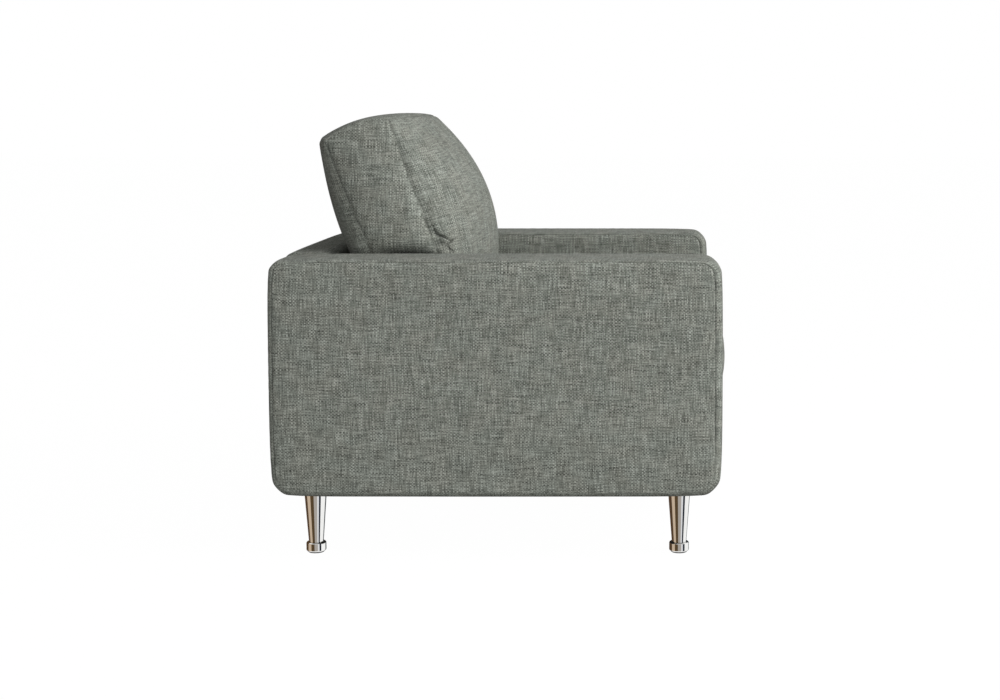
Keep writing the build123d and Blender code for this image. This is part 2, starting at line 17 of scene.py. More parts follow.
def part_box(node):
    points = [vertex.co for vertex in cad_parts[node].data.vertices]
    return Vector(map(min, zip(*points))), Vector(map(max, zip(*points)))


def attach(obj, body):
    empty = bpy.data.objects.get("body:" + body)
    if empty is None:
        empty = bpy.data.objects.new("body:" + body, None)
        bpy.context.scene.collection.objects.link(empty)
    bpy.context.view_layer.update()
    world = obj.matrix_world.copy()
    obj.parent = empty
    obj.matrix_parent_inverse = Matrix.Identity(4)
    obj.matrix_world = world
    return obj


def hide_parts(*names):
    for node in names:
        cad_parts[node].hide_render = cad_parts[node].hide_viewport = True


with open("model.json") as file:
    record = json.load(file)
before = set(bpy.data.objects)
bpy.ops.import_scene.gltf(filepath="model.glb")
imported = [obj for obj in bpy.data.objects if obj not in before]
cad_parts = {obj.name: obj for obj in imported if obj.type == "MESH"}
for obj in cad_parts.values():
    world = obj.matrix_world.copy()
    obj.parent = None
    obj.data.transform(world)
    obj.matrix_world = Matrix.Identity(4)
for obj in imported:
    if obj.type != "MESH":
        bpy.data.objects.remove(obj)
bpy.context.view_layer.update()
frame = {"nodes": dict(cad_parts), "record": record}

# %% [markdown]
# ## Camera
# The photograph looks square on to the chair's right-hand side from a little above the arms. A camera could
# be turned towards the middle of the chair, but the arm's long edges stay level in the picture, so it looks
# straight across and slightly down, and the picture is shifted sideways instead. Lines that run across the
# chair meet at a point near the top of the picture, and that gives the camera's height and distance.

# %% Camera at the photograph's angle
PHOTO_WIDTH = 1000
PHOTO_HEIGHT = 700
FOCAL_PIXELS = 1580
CAMERA_AT = (-3.345, -0.2545, 0.8375)
VANISHING_X = 639.4
HORIZON_Y = 116.6
CAMERA_DIP = radians(4.5)
centre_y = HORIZON_Y + FOCAL_PIXELS * tan(CAMERA_DIP)
camera_data = bpy.data.cameras.new("photo_camera")
camera_data.sensor_width = 36
camera_data.lens = FOCAL_PIXELS / PHOTO_WIDTH * camera_data.sensor_width
camera_data.shift_x = (PHOTO_WIDTH / 2 - VANISHING_X) / PHOTO_WIDTH
camera_data.shift_y = (centre_y - PHOTO_HEIGHT / 2) / PHOTO_WIDTH
camera = bpy.data.objects.new("photo_camera", camera_data)
camera.location = CAMERA_AT
camera.rotation_euler = (pi / 2 - CAMERA_DIP, 0, -pi / 2)
bpy.context.scene.collection.objects.link(camera)
bpy.context.scene.camera = camera
print("camera shift", round(camera_data.shift_x, 3), round(camera_data.shift_y, 3))

# %% [markdown]
# ## Colours and nodes
# Colours are written as sRGB hex values, the way a picture editor shows them, and one function turns them
# to linear. Another adds a node with its settings, values and links. Each node could be set up line by
# line, but then the few values that matter would be lost among the rest.

# %% Colour and node helpers
def hex_colour(code):
    """Linear RGBA from an sRGB hex value such as 7A7D76."""
    channels = [int(code[i:i + 2], 16) / 255 for i in (0, 2, 4)]
    return [c / 12.92 if c <= 0.04045 else ((c + 0.055) / 1.055) ** 2.4 for c in channels] + [1]


def add_node(tree, kind, links=None, values=None, **settings):
    """Add one node, set its settings and socket values, and link sockets into it."""
    node = tree.nodes.new(kind)
    for name, value in settings.items():
        setattr(node, name, value)
    for socket, value in (values or {}).items():
        node.inputs[socket].default_value = value
    for socket, source in (links or {}).items():
        tree.links.new(source, node.inputs[socket])
    return node


def new_material(name):
    """An empty node material with its output, ready for a shader."""
    material = bpy.data.materials.new(name)
    material.use_nodes = True
    material.node_tree.nodes.clear()
    output = add_node(material.node_tree, "ShaderNodeOutputMaterial")
    return material, material.node_tree, output


# %% [markdown]
# ## Sewing panels
# Upholstery is cut from flat panels. Each panel here is a grid of points with its own flat pattern in
# metres, and sewing joins such grids into one closed mesh. A finished shape could be unwrapped instead, but
# that would stretch and turn the weave, which runs true on every cut panel.

# %% Sewing helper
def sew(name, panels, material):
    """Join grids of points, each with its flat pattern in metres, into one closed mesh."""
    mesh = bmesh.new()
    pattern = mesh.loops.layers.uv.new("pattern")
    for points, flat in panels:
        rows, columns = points.shape[:2]
        grid = [[mesh.verts.new(points[i, j]) for j in range(columns)] for i in range(rows)]
        for i in range(rows - 1):
            for j in range(columns - 1):
                corners = ((i, j), (i, j + 1), (i + 1, j + 1), (i + 1, j))
                face = mesh.faces.new([grid[a][b] for a, b in corners])
                face.smooth = True
                for loop, (a, b) in zip(face.loops, corners):
                    loop[pattern].uv = flat[a, b]
    bmesh.ops.remove_doubles(mesh, verts=mesh.verts, dist=1e-5)
    bmesh.ops.dissolve_degenerate(mesh, edges=mesh.edges, dist=1e-6)
    bmesh.ops.recalc_face_normals(mesh, faces=mesh.faces)
    data = bpy.data.meshes.new(name)
    mesh.to_mesh(data)
    mesh.free()
    data.materials.append(material)
    piece = bpy.data.objects.new(name, data)
    bpy.context.scene.collection.objects.link(piece)
    return piece


# %% [markdown]
# ## Tweed
# The cover is a chunky woollen tweed in plain weave, with yarns of two strands. Every strand has its own
# tone, which drifts along its length, and warp and weft take turns to lie on top. So the eye sees a lively
# grey-green with light and dark specks, broken runs along both thread directions, and soft patches that are
# greener or browner. Plain noise would give the specks but not the runs, so the pattern counts threads
# instead, on each panel's own flat pattern. Threads much finer than 3 mm would be lost between the
# picture's pixels, so they are drawn that coarse, coarser perhaps than the real ones.

# %% Threads of the tweed
WARP_MM = 3.35
WEFT_MM = 2.95
STRANDS = 2
SLUB_MM = 32
WANDER_MM = 26
WANDER = 0.003
# Neighbouring strands read the noise this far apart, so their tones have nothing in common.
STRAND_JUMP = 7.37


def slack_threads(tree, uv):
    """The place on a panel, shaken a little as yarns don't lie quite straight, and that place in threads."""
    wander = add_node(
        tree, "ShaderNodeTexNoise", {"Vector": uv}, {"Scale": 1000 / WANDER_MM, "Detail": 1.0},
        noise_dimensions="2D",
    )
    shaken = add_node(
        tree, "ShaderNodeVectorMath", {0: wander.outputs["Color"], 2: uv}, {1: (WANDER, WANDER, 0)},
        operation="MULTIPLY_ADD",
    ).outputs[0]
    threads = add_node(
        tree, "ShaderNodeVectorMath", {0: shaken}, {1: (1000 / WARP_MM, 1000 / WEFT_MM, 0)},
        operation="MULTIPLY",
    ).outputs[0]
    return shaken, threads


def strand_tones(tree, shaken, threads):
    """The tones of weft and warp: a jump from strand to strand, and a slow drift along each."""
    strands = add_node(
        tree, "ShaderNodeVectorMath", {0: threads}, {1: (STRANDS, STRANDS, 0)}, operation="MULTIPLY"
    )
    count = add_node(tree, "ShaderNodeVectorMath", {0: strands.outputs[0]}, operation="FLOOR")
    number = add_node(tree, "ShaderNodeSeparateXYZ", {0: count.outputs[0]})
    place = add_node(tree, "ShaderNodeSeparateXYZ", {0: shaken})
    tones = []
    for across, along, seed in (("Y", "X", 57.7), ("X", "Y", 3.1)):
        jump = add_node(
            tree, "ShaderNodeMath", {0: number.outputs[across]}, {1: STRAND_JUMP, 2: seed},
            operation="MULTIPLY_ADD",
        )
        drift = add_node(
            tree, "ShaderNodeMath", {0: place.outputs[along]}, {1: 1000 / SLUB_MM}, operation="MULTIPLY"
        )
        spot = add_node(tree, "ShaderNodeCombineXYZ", {0: jump.outputs[0], 1: drift.outputs[0]})
        noise = add_node(
            tree, "ShaderNodeTexNoise", {"Vector": spot.outputs[0]}, {"Scale": 1.0, "Detail": 2.0},
            noise_dimensions="2D",
        )
        tones.append(noise.outputs["Fac"])
    return tones


# %% Weave of the tweed
EASE_MM = 17
EASE_GAIN = 3.4
EASE_START = -1.1
# Real fibres are far finer, and are drawn this coarse so that they show.
FIBRE_MM = 1.5
TONE_SHARE = 1.8
ROW_SHARE = 0.03
CROSSING_SHARE = 0.14
FIBRE_SHARE = 0.3


def weave(tree, uv):
    """Tone and height of the cloth in one value: the strand on top, its round back, and loose fibres."""
    shaken, threads = slack_threads(tree, uv)
    weft_tone, warp_tone = strand_tones(tree, shaken, threads)
    turns = add_node(tree, "ShaderNodeVectorMath", {0: threads}, {1: (pi, pi, 0)}, operation="MULTIPLY")
    waves = add_node(tree, "ShaderNodeVectorMath", {0: turns.outputs[0]}, operation="SINE")
    arch = add_node(tree, "ShaderNodeSeparateXYZ", {0: waves.outputs[0]})
    swing = add_node(
        tree, "ShaderNodeTexNoise", {"Vector": uv}, {"Scale": 1000 / EASE_MM, "Detail": 2.0},
        noise_dimensions="2D",
    )
    ease = add_node(
        tree, "ShaderNodeVectorMath", {0: swing.outputs["Color"]},
        {1: (EASE_GAIN, EASE_GAIN, 0), 2: (EASE_START, EASE_START, 0)}, operation="MULTIPLY_ADD",
    )
    rows = add_node(
        tree, "ShaderNodeVectorMath", {0: waves.outputs[0], 1: ease.outputs[0]}, operation="DOT_PRODUCT"
    )
    crossing = add_node(
        tree, "ShaderNodeMath", {0: arch.outputs["X"], 1: arch.outputs["Y"]}, operation="MULTIPLY"
    )
    warp_on_top = add_node(
        tree, "ShaderNodeMapRange", {"Value": crossing.outputs[0]}, {"From Min": -0.5, "From Max": 0.5}
    )
    tone = add_node(
        tree, "ShaderNodeMix", {0: warp_on_top.outputs[0], 2: weft_tone, 3: warp_tone}, data_type="FLOAT"
    )
    fibre = add_node(
        tree, "ShaderNodeTexNoise", {"Vector": uv}, {"Scale": 1000 / FIBRE_MM, "Detail": 1.0},
        noise_dimensions="2D",
    )
    woven = add_node(tree, "ShaderNodeMath", {0: tone.outputs[0]}, {1: TONE_SHARE}, operation="MULTIPLY")
    for part, share in (
        (rows.outputs["Value"], ROW_SHARE),
        (crossing.outputs[0], CROSSING_SHARE),
        (fibre.outputs["Fac"], FIBRE_SHARE),
    ):
        woven = add_node(
            tree, "ShaderNodeMath", {0: part, 2: woven.outputs[0]}, {1: share}, operation="MULTIPLY_ADD"
        )
    return woven.outputs[0]


# %% Tweed material
TONE_SPREAD = 0.51
PATCH_MM = 50
# How much light the painted shade leaves in the deepest folds.
FOLD_LIGHT = 0.1


def make_tweed(name, dark, middle, light):
    """Tweed of three yarn colours, matt and slightly hairy, with painted shade in the folds where it is sewn
    or creased.
    """
    material, tree, output = new_material(name)
    uv = add_node(tree, "ShaderNodeUVMap", uv_map="pattern").outputs["UV"]
    woven = weave(tree, uv)
    mean_level = 0.5 * (TONE_SHARE + FIBRE_SHARE)
    level = add_node(
        tree, "ShaderNodeMapRange", {"Value": woven},
        {"From Min": mean_level - TONE_SPREAD, "From Max": mean_level + TONE_SPREAD},
    )
    ramp = add_node(tree, "ShaderNodeValToRGB", {"Fac": level.outputs[0]})
    ramp.color_ramp.elements[0].color = hex_colour(dark)
    ramp.color_ramp.elements[1].color = hex_colour(light)
    ramp.color_ramp.elements.new(0.5).color = hex_colour(middle)
    patches = add_node(
        tree, "ShaderNodeTexNoise", {"Vector": uv}, {"Scale": 1000 / PATCH_MM, "Detail": 2.0},
        noise_dimensions="2D",
    )
    cast = add_node(tree, "ShaderNodeValToRGB", {"Fac": patches.outputs["Fac"]})
    cast.color_ramp.elements[0].position = 0.36
    cast.color_ramp.elements[0].color = hex_colour("F7F9F6")
    cast.color_ramp.elements[1].position = 0.64
    cast.color_ramp.elements[1].color = hex_colour("FAF9F5")
    colour = add_node(
        tree, "ShaderNodeMix", {6: ramp.outputs["Color"], 7: cast.outputs["Color"]}, {0: 1.0},
        data_type="RGBA", blend_type="MULTIPLY",
    )
    # The seam attribute holds the shade of seams and creases, and here it is painted into the colour.
    seam = add_node(tree, "ShaderNodeAttribute", attribute_name="seam")
    shade = add_node(
        tree, "ShaderNodeMapRange", {"Value": seam.outputs["Fac"]},
        {"From Min": 0.1, "From Max": 1.0, "To Min": 1.0, "To Max": FOLD_LIGHT},
    )
    sewn = add_node(
        tree, "ShaderNodeVectorMath", {0: colour.outputs[2], "Scale": shade.outputs[0]}, operation="SCALE"
    )
    bump = add_node(tree, "ShaderNodeBump", {"Height": woven}, {"Strength": 0.4, "Distance": 0.0012})
    shader = add_node(
        tree, "ShaderNodeBsdfPrincipled", {"Base Color": sewn.outputs[0], "Normal": bump.outputs["Normal"]},
        {"Roughness": 0.92, "Specular IOR Level": 0.15, "Sheen Weight": 0.05, "Sheen Roughness": 0.5},
    )
    tree.links.new(shader.outputs["BSDF"], output.inputs["Surface"])
    return material


tweed = make_tweed("grey_green_wool_tweed", "3B3C39", "777A74", "A9ACA6")
print("tweed:", WARP_MM, "x", WEFT_MM, "mm threads")

# %% [markdown]
# ## Polished metal, plastic and the hidden materials
# The legs are chromed steel and the glides are moulded plastic. Timber, plywood, steel, foam and cloth
# inside the chair show only when a cushion is out or from below, but each still gets the grain or grit of
# the real one. They differ in colour, gloss and grain alone, so one function makes them all, rather than a
# tree of nodes for each.

# %% Metal, plastic, timber and plain cloth
def make_solid(name, base, roughness, metallic=0.0, grit_mm=8, stretch=(1, 1, 1), swing="10"):
    """A finish with uneven tone: noise of grit_mm, drawn out by stretch, darkens the base colour."""
    material, tree, output = new_material(name)
    place = add_node(tree, "ShaderNodeTexCoord")
    drawn = add_node(tree, "ShaderNodeMapping", {"Vector": place.outputs["Object"]}, {"Scale": stretch})
    noise = add_node(
        tree, "ShaderNodeTexNoise", {"Vector": drawn.outputs[0]}, {"Scale": 1000 / grit_mm, "Detail": 4.0}
    )
    darker = "".join(f"{max(int(base[i:i + 2], 16) - int(swing, 16), 0):02X}" for i in (0, 2, 4))
    ramp = add_node(tree, "ShaderNodeValToRGB", {"Fac": noise.outputs["Fac"]})
    ramp.color_ramp.elements[0].position = 0.35
    ramp.color_ramp.elements[0].color = hex_colour(darker)
    ramp.color_ramp.elements[1].position = 0.65
    ramp.color_ramp.elements[1].color = hex_colour(base)
    rough = add_node(
        tree, "ShaderNodeMapRange", {"Value": noise.outputs["Fac"]},
        {"To Min": roughness * 0.85, "To Max": roughness * 1.15},
    )
    shader = add_node(
        tree, "ShaderNodeBsdfPrincipled",
        {"Base Color": ramp.outputs["Color"], "Roughness": rough.outputs[0]}, {"Metallic": metallic},
    )
    tree.links.new(shader.outputs["BSDF"], output.inputs["Surface"])
    return material


finishes = {
    # Plated and polished: a bright neutral mirror, with faint upright polishing marks.
    "polished_metal": make_solid("chromed_steel", "F2F2F0", 0.05, 1.0, 14, (1, 1, 0.1), "06"),
    # Moulded: near black, half matt and almost even.
    "glide_plastic": make_solid("moulded_black_nylon", "1B1B1C", 0.5, 0.0, 3, swing="06"),
    # Zinc plated wire and screws: grey, with a dull and mottled shine.
    "zinc_steel": make_solid("zinc_plated_steel", "B9BABC", 0.35, 1.0, 6, swing="18"),
    # Loose fibre: white and quite matt.
    "filling": make_solid("white_fibre_filling", "EDECE8", 0.95, 0.0, 12, swing="14"),
    # Cut foam: cream, with open cells, drawn coarser than real so that they show.
    "foam": make_solid("cream_upholstery_foam", "E0D3A8", 0.95, 0.0, 2, swing="18"),
    # Plain woven lining: dark grey and matt, with its grit drawn coarser than real so that it shows.
    "deck_cloth": make_solid("charcoal_deck_cloth", "5A5C58", 0.95, 0.0, 1.5, swing="18"),
    # Pressed from waste fibre: mid grey and blotchy.
    "felt": make_solid("grey_pressed_felt", "7C7A76", 0.95, 0.0, 5, swing="20"),
    # Bonded fibre sheet: black, matt and thin.
    "dust_cloth": make_solid("black_dust_cloth", "262626", 0.9, 0.0, 2, swing="0C"),
    # Woven round rubber threads: black, with a faint rib.
    "webbing": make_solid("black_elastic_webbing", "2E2D2C", 0.85, 0.0, 3, (1, 0.1, 0.1), "10"),
    # Peeled veneers: pale, with long soft streaks.
    "plywood": make_solid("birch_plywood", "CDAE82", 0.6, 0.0, 9, (1, 0.08, 1), "22"),
    # Sawn and left bare: light brown, with short streaks along the cross rails.
    "timber": make_solid("sawn_beech", "C79F70", 0.6, 0.0, 7, (0.1, 0.6, 1), "26"),
}
slots = {row["node"]: row["material_slot"] for row in frame["record"]["subparts"]}
for name, node in frame["nodes"].items():
    node.data.materials.clear()
    node.data.materials.append(finishes.get(slots[name], tweed))
print("finishes:", ", ".join(sorted(finishes)))

# %% [markdown]
# ## Studio floor
# The chair stands on plain white, with hardly any shadow. A white floor lit until it clips would also light
# the chair from below, so the floor is a dull grey for the light and glows white for the camera. A tenth of
# the grey is left in for the camera too, and that part takes the chair's shadow. The polished legs don't
# mirror the floor.

# %% Floor
def from_camera(tree):
    """One for a ray from the camera, a mirror or glass, and nought for light that falls on the chair."""
    path = add_node(tree, "ShaderNodeLightPath")
    seen = path.outputs["Is Camera Ray"]
    for kind in ("Is Glossy Ray", "Is Transmission Ray"):
        either = add_node(tree, "ShaderNodeMath", {0: seen, 1: path.outputs[kind]}, operation="MAXIMUM")
        seen = either.outputs[0]
    return seen


FLOOR_HALF = 30
FLOOR_GLOW = 1.1
FLOOR_SEEN = 0.9
floor_points = np.array(
    [[(x, y, 0) for y in (-FLOOR_HALF, FLOOR_HALF)] for x in (-FLOOR_HALF, FLOOR_HALF)], float
)
floor_white, tree, output = new_material("white_studio_floor")
matt = add_node(tree, "ShaderNodeBsdfDiffuse", values={"Color": hex_colour("6C6C6C")})
glow = add_node(tree, "ShaderNodeEmission", values={"Color": hex_colour("FFFFFF"), "Strength": FLOOR_GLOW})
seen = add_node(tree, "ShaderNodeMath", {0: from_camera(tree)}, {1: FLOOR_SEEN}, operation="MULTIPLY")
mixed = add_node(
    tree, "ShaderNodeMixShader", {0: seen.outputs[0], 1: matt.outputs["BSDF"], 2: glow.outputs["Emission"]}
)
tree.links.new(mixed.outputs[0], output.inputs["Surface"])
floor = sew("studio_floor", [(floor_points, floor_points[:, :, :2])], floor_white)
floor.visible_glossy = False
print("floor", 2 * FLOOR_HALF, "m wide")

# %% [markdown]
# ## Studio light
# The light in the photograph is soft and comes mostly from the chair's front and from the camera's side:
# the front is lightest and the top of the back is dim. One lamp alone would leave a plain shadow on the
# floor, and there is hardly any. So the surroundings give a base light that is stronger on that side, and
# two soft lamps lift the front and the near side. To the camera the surroundings are plain white.

# %% Surroundings and soft lamps
LIGHT_FROM = Vector((-0.6, -0.75, 0.1)).normalized()
LIGHT_LEVEL = 0.45
LIGHT_SWING = 0.36
world = bpy.data.worlds.new("studio_light")
world.use_nodes = True
tree = world.node_tree
tree.nodes.clear()
facing = add_node(tree, "ShaderNodeTexCoord")
towards = add_node(
    tree, "ShaderNodeVectorMath", {0: facing.outputs["Generated"]}, {1: LIGHT_FROM}, operation="DOT_PRODUCT"
)
level = add_node(
    tree, "ShaderNodeMath", {0: towards.outputs["Value"]}, {1: LIGHT_SWING, 2: LIGHT_LEVEL},
    operation="MULTIPLY_ADD",
)
strength = add_node(
    tree, "ShaderNodeMix", {0: from_camera(tree), 2: level.outputs[0]}, {3: 1.0}, data_type="FLOAT"
)
sky = add_node(
    tree, "ShaderNodeBackground", {"Strength": strength.outputs[0]}, {"Color": hex_colour("FFFFFF")}
)
add_node(tree, "ShaderNodeOutputWorld", {"Surface": sky.outputs[0]})
bpy.context.scene.world = world
bpy.context.scene.view_settings.view_transform = "Standard"
print("studio light level", LIGHT_LEVEL)


def soft_lamp(name, place, width, height, power):
    """A soft lamp that faces the chair and isn't mirrored by it."""
    data = bpy.data.lights.new(name, "AREA")
    data.shape = "ELLIPSE"
    data.size = width
    data.size_y = height
    data.energy = power
    lamp = bpy.data.objects.new(name, data)
    lamp.location = place
    lamp.rotation_euler = (Vector((0, 0, 0.4)) - lamp.location).to_track_quat("-Z", "Y").to_euler()
    lamp.visible_glossy = False
    bpy.context.scene.collection.objects.link(lamp)
    print(name, power, "W")


soft_lamp("front_lamp", (-1.4, -3.1, 2.4), 2.4, 2.4, 127)
soft_lamp("side_fill", (-3.3, -0.4, 0.55), 2.2, 0.7, 36)

# %% [markdown]
# ## Cards for the legs
# Polished metal shows only its surroundings, and in plain white it would vanish. A photographer stands
# cards round such a piece, and so does this scene. A picture of a studio could light it instead, but cards
# are easier to steer: a ring of them stands far round the chair and is seen in reflections alone. Towards
# the rear the cards are warm and mostly dark. Towards the front they are pale, with one narrow dark one.
# That gives the legs the photograph's upright stripes.

# %% Ring of cards
CARD_RING = 12
CARD_HALF_HEIGHT = 10
CARD_STEPS = 25
CARD_GLOW = 1.1
# First and last bearing in degrees, from the camera's side towards the rear, and the colour.
CARDS = (
    (90, 180, "523F2E"), (49, 90, "C2AE98"), (12, 49, "55442F"), (-25, 12, "A8A29C"), (-44, -25, "DCDDE0"),
    (-67, -44, "2C3039"), (-180, -137, "565B5C"),
)
for first, last, shade in CARDS:
    bearings = np.radians(np.linspace(first, last, CARD_STEPS))
    edge = np.column_stack((-np.cos(bearings), np.sin(bearings))) * CARD_RING
    heights = (-CARD_HALF_HEIGHT, CARD_HALF_HEIGHT)
    card_points = np.array([np.column_stack((edge, np.full(CARD_STEPS, z))) for z in heights])
    card_paint, tree, output = new_material(f"card_{shade}")
    glow = add_node(tree, "ShaderNodeEmission", values={"Color": hex_colour(shade), "Strength": CARD_GLOW})
    tree.links.new(glow.outputs[0], output.inputs["Surface"])
    card = sew(f"card_{shade}", [(card_points, card_points[:, :, 1:])], card_paint)
    card.visible_camera = False
    card.visible_diffuse = False
    card.visible_transmission = False
    card.visible_shadow = False
print("cards:", len(CARDS))

# %% [markdown]
# ## Padding and seams
# A stuffed cover is never quite flat, and along its seams the cloth is held down, gathers a little and lies
# in its own shade. Real stitches could be modelled one by one, but at this distance only the groove shows.
# So points near a seam are moved along their normals, and how deep they lie in the fold is kept on the mesh
# as shade for the tweed to paint into its colour.

# %% Runs and unevenness
def run_lengths(points):
    """Distances along a run of points, from nought."""
    return np.concatenate(([0], np.cumsum(np.linalg.norm(np.diff(points, axis=0), axis=1))))


def uneven(points, size, seed):
    """Smooth, repeatable unevenness between -1 and 1, in waves of about size metres."""
    total = np.zeros(points.shape[:-1])
    for i in range(5):
        way = np.array([sin(seed + 2.1 * i), cos(1.7 * seed + 3.3 * i), sin(0.7 * seed + 5.1 * i)])
        total += np.sin(points @ way * 2 * pi / size * (0.7 + 0.17 * i) + seed * (i + 1))
    return total / 5


def mesh_points(mesh):
    """A mesh's points as an array."""
    points = np.empty(len(mesh.vertices) * 3)
    mesh.vertices.foreach_get("co", points)
    return points.reshape(-1, 3)


def move_points(piece, points):
    """Put a mesh's points where the array says."""
    piece.data.vertices.foreach_set("co", points.ravel())
    piece.data.update()


# %% Seams
GATHER_SPACING = 0.026
GATHER_REACH = 0.018
GATHER_START = 0.004


def paint_fold_shade(piece, amount):
    """Keep how much shade is painted at each point in the fold of a seam or crease, for the cloth's colour.
    """
    kept = piece.data.attributes.get("seam") or piece.data.attributes.new("seam", "FLOAT", "POINT")
    before = np.empty(len(amount))
    kept.data.foreach_get("value", before)
    kept.data.foreach_set("value", np.maximum(before, amount))


def draw_in(piece, lines, depth, half_width, pucker, shade):
    """Draw the cloth in along lines of points and paint shade along them; pucker adds small gathers that fade
    away from the line.
    """
    seam_points = np.concatenate(lines)
    runs = np.concatenate([run_lengths(line) for line in lines])
    tree = kdtree.KDTree(len(seam_points))
    for i, point in enumerate(seam_points):
        tree.insert(point, i)
    tree.balance()
    points = mesh_points(piece.data)
    normals = np.array([vertex.normal for vertex in piece.data.vertices])
    found = [tree.find(point) for point in points]
    nearest = runs[[index for _, index, _ in found]]
    distance = np.array([gap for _, _, gap in found])
    # Slower waves along the seam keep the gathers and the shade from looking regular.
    wave = np.sin(nearest * 2 * pi / GATHER_SPACING + 2 * np.sin(nearest * 19))
    gathers = wave * (0.6 + 0.4 * np.sin(nearest * 31))
    fade = np.exp(-distance / GATHER_REACH) * (1 - np.exp(-distance / GATHER_START))
    lift = pucker * gathers * fade - depth * np.exp(-distance / half_width)
    move_points(piece, points + normals * lift[:, None])
    # Painted shade along the line, broken up along its length.
    broken = 0.7 + 0.3 * np.sin(nearest * 67 + 2 * np.sin(nearest * 29))
    paint_fold_shade(piece, shade * broken * np.exp(-distance / half_width))


# %% [markdown]
# ## Arms
# Each arm is a padded box: two flat side panels sewn to one band that runs right round the edge. The seam
# is a plain one, so it shows as a fine groove just in from the edge, with the cloth slightly full on both
# sides of it. A box with bevelled edges would be quicker, but its faces wouldn't follow the seam. So the
# mesh is a set of rings, each the arm's outline in side view, drawn in further and further, and seam and
# threads follow the edge all the way round.

# %% Outline of an arm
# Corners run rear top, front top, front low, rear low.
ARM_RADII = (0.020, 0.027, 0.030, 0.030)
OUTLINE_STEPS = (110, 54, 16)


def rounded_outline(sides, radii):
    """Points round a rounded rectangle in (y, z), closed. Sides are rear, top, front and low."""
    long_steps, short_steps, corner_steps = OUTLINE_STEPS
    rear, top, front, low = sides
    turns = ((rear, top, -1, -1), (front, top, 1, -1), (front, low, 1, 1), (rear, low, -1, 1))
    corners = []
    for turn, (y, z, in_y, in_z) in enumerate(turns):
        angles = pi / 2 * (turn + np.linspace(0, 1, corner_steps + 1))
        centre = np.array((y + in_y * radii[turn], z + in_z * radii[turn]))
        corners.append(centre + radii[turn] * np.column_stack((np.cos(angles), np.sin(angles))))
    outline = []
    for turn, corner in enumerate(corners):
        steps = short_steps if turn % 2 else long_steps
        onward = corners[(turn + 1) % 4][0] - corner[-1]
        outline += [corner, corner[-1] + onward * np.linspace(0, 1, steps + 1)[1:-1, None]]
    return np.concatenate(outline + [corners[0][:1]])


# %% Panels of an arm
ARM_EDGE = 0.014
SEAM_INSET = 0.0095
SEAM_SHARES = (0.95, 0.4, 1.25, 1.0)
NEAR_SEAM = np.array([0, 0.0006, 0.0013, 0.0022, 0.0034, 0.005])
OUTER_FULLNESS = 0.003
INNER_FULLNESS = 0.0008
FULL_REACH = 0.05
BAND_FULLNESS = 0.003
SIDE_RINGS = 26
BAND_RINGS = 14


def arm_panels(low, high, side):
    """Panels of an arm: its outer side, its inner side, and last the band round its edge."""
    middle = (low + high) / 2
    half_width, _, half_height = (high - low) / 2
    bounds = np.array((high[1], high[2], low[1], low[2]))
    inward = np.array((-1, -1, 1, 1))
    shares = np.array(SEAM_SHARES)

    def ring(inset, out):
        """The outline drawn in by inset, out from the arm's middle. Near the edge each side has its share."""
        inner = np.clip((inset - ARM_EDGE) / (half_height - ARM_EDGE), 0, 1)
        drawn = shares * min(inset, ARM_EDGE) + inner * (half_height - shares * ARM_EDGE)
        radii = np.array(ARM_RADII) * (1 - inset / half_height)
        outline = rounded_outline(bounds + inward * drawn, radii)
        return np.column_stack((np.full(len(outline), middle[0] + out * side), outline))

    def edge_ring(angle, facing):
        """A ring on the rounded edge; angle 0 faces sideways and a right angle faces out of the band."""
        return ring(ARM_EDGE * (1 - sin(angle)), facing * (half_width - ARM_EDGE * (1 - cos(angle))))

    seam_angle = np.arcsin(1 - SEAM_INSET / ARM_EDGE)
    before_seam = [run for run in NEAR_SEAM[::-1] if run < seam_angle * ARM_EDGE]
    panels = []
    for facing, fullness in ((1, OUTER_FULLNESS), (-1, INNER_FULLNESS)):
        rings = []
        for inset in half_height - (half_height - ARM_EDGE) * np.linspace(0, 1, SIDE_RINGS):
            swelled = fullness * (1 - np.exp((ARM_EDGE - inset) / FULL_REACH))
            rings.append(ring(inset, facing * (half_width + swelled)))
        rings += [edge_ring(seam_angle - run / ARM_EDGE, facing) for run in before_seam]
        panel = np.array(rings)
        panels.append((panel, panel[:, :, 1:]))

    past_seam = np.linspace(seam_angle + 0.5, pi / 2, 5)
    edge_angles = np.concatenate((seam_angle + NEAR_SEAM / ARM_EDGE, past_seam))
    band = [edge_ring(angle, 1) for angle in edge_angles]
    for out in np.linspace(1, -1, BAND_RINGS)[1:-1]:
        band.append(ring(-BAND_FULLNESS * (1 - out ** 4), out * (half_width - ARM_EDGE)))
    band += [edge_ring(angle, -1) for angle in edge_angles[::-1]]
    band = np.array(band)
    across, along = run_lengths(band[:, 0]), run_lengths(band[len(band) // 2])
    panels.append((band, np.stack(np.meshgrid(across, along, indexing="ij"), axis=-1)))
    return panels


# %% Both arms
SEAM_DEPTH = 0.0028
SEAM_HALF_WIDTH = 0.002
SEAM_PUCKER = 0.0004
ARM_SEAM_SHADE = 0.7
SEAM_STOP = 0.03
ARM_UNEVEN = 0.0009
UNEVEN_SIZE = 0.3
ARM_SOFTNESS = (0.006, 0.005, 0.008, 0.008)
SOFT_REACH = 0.038


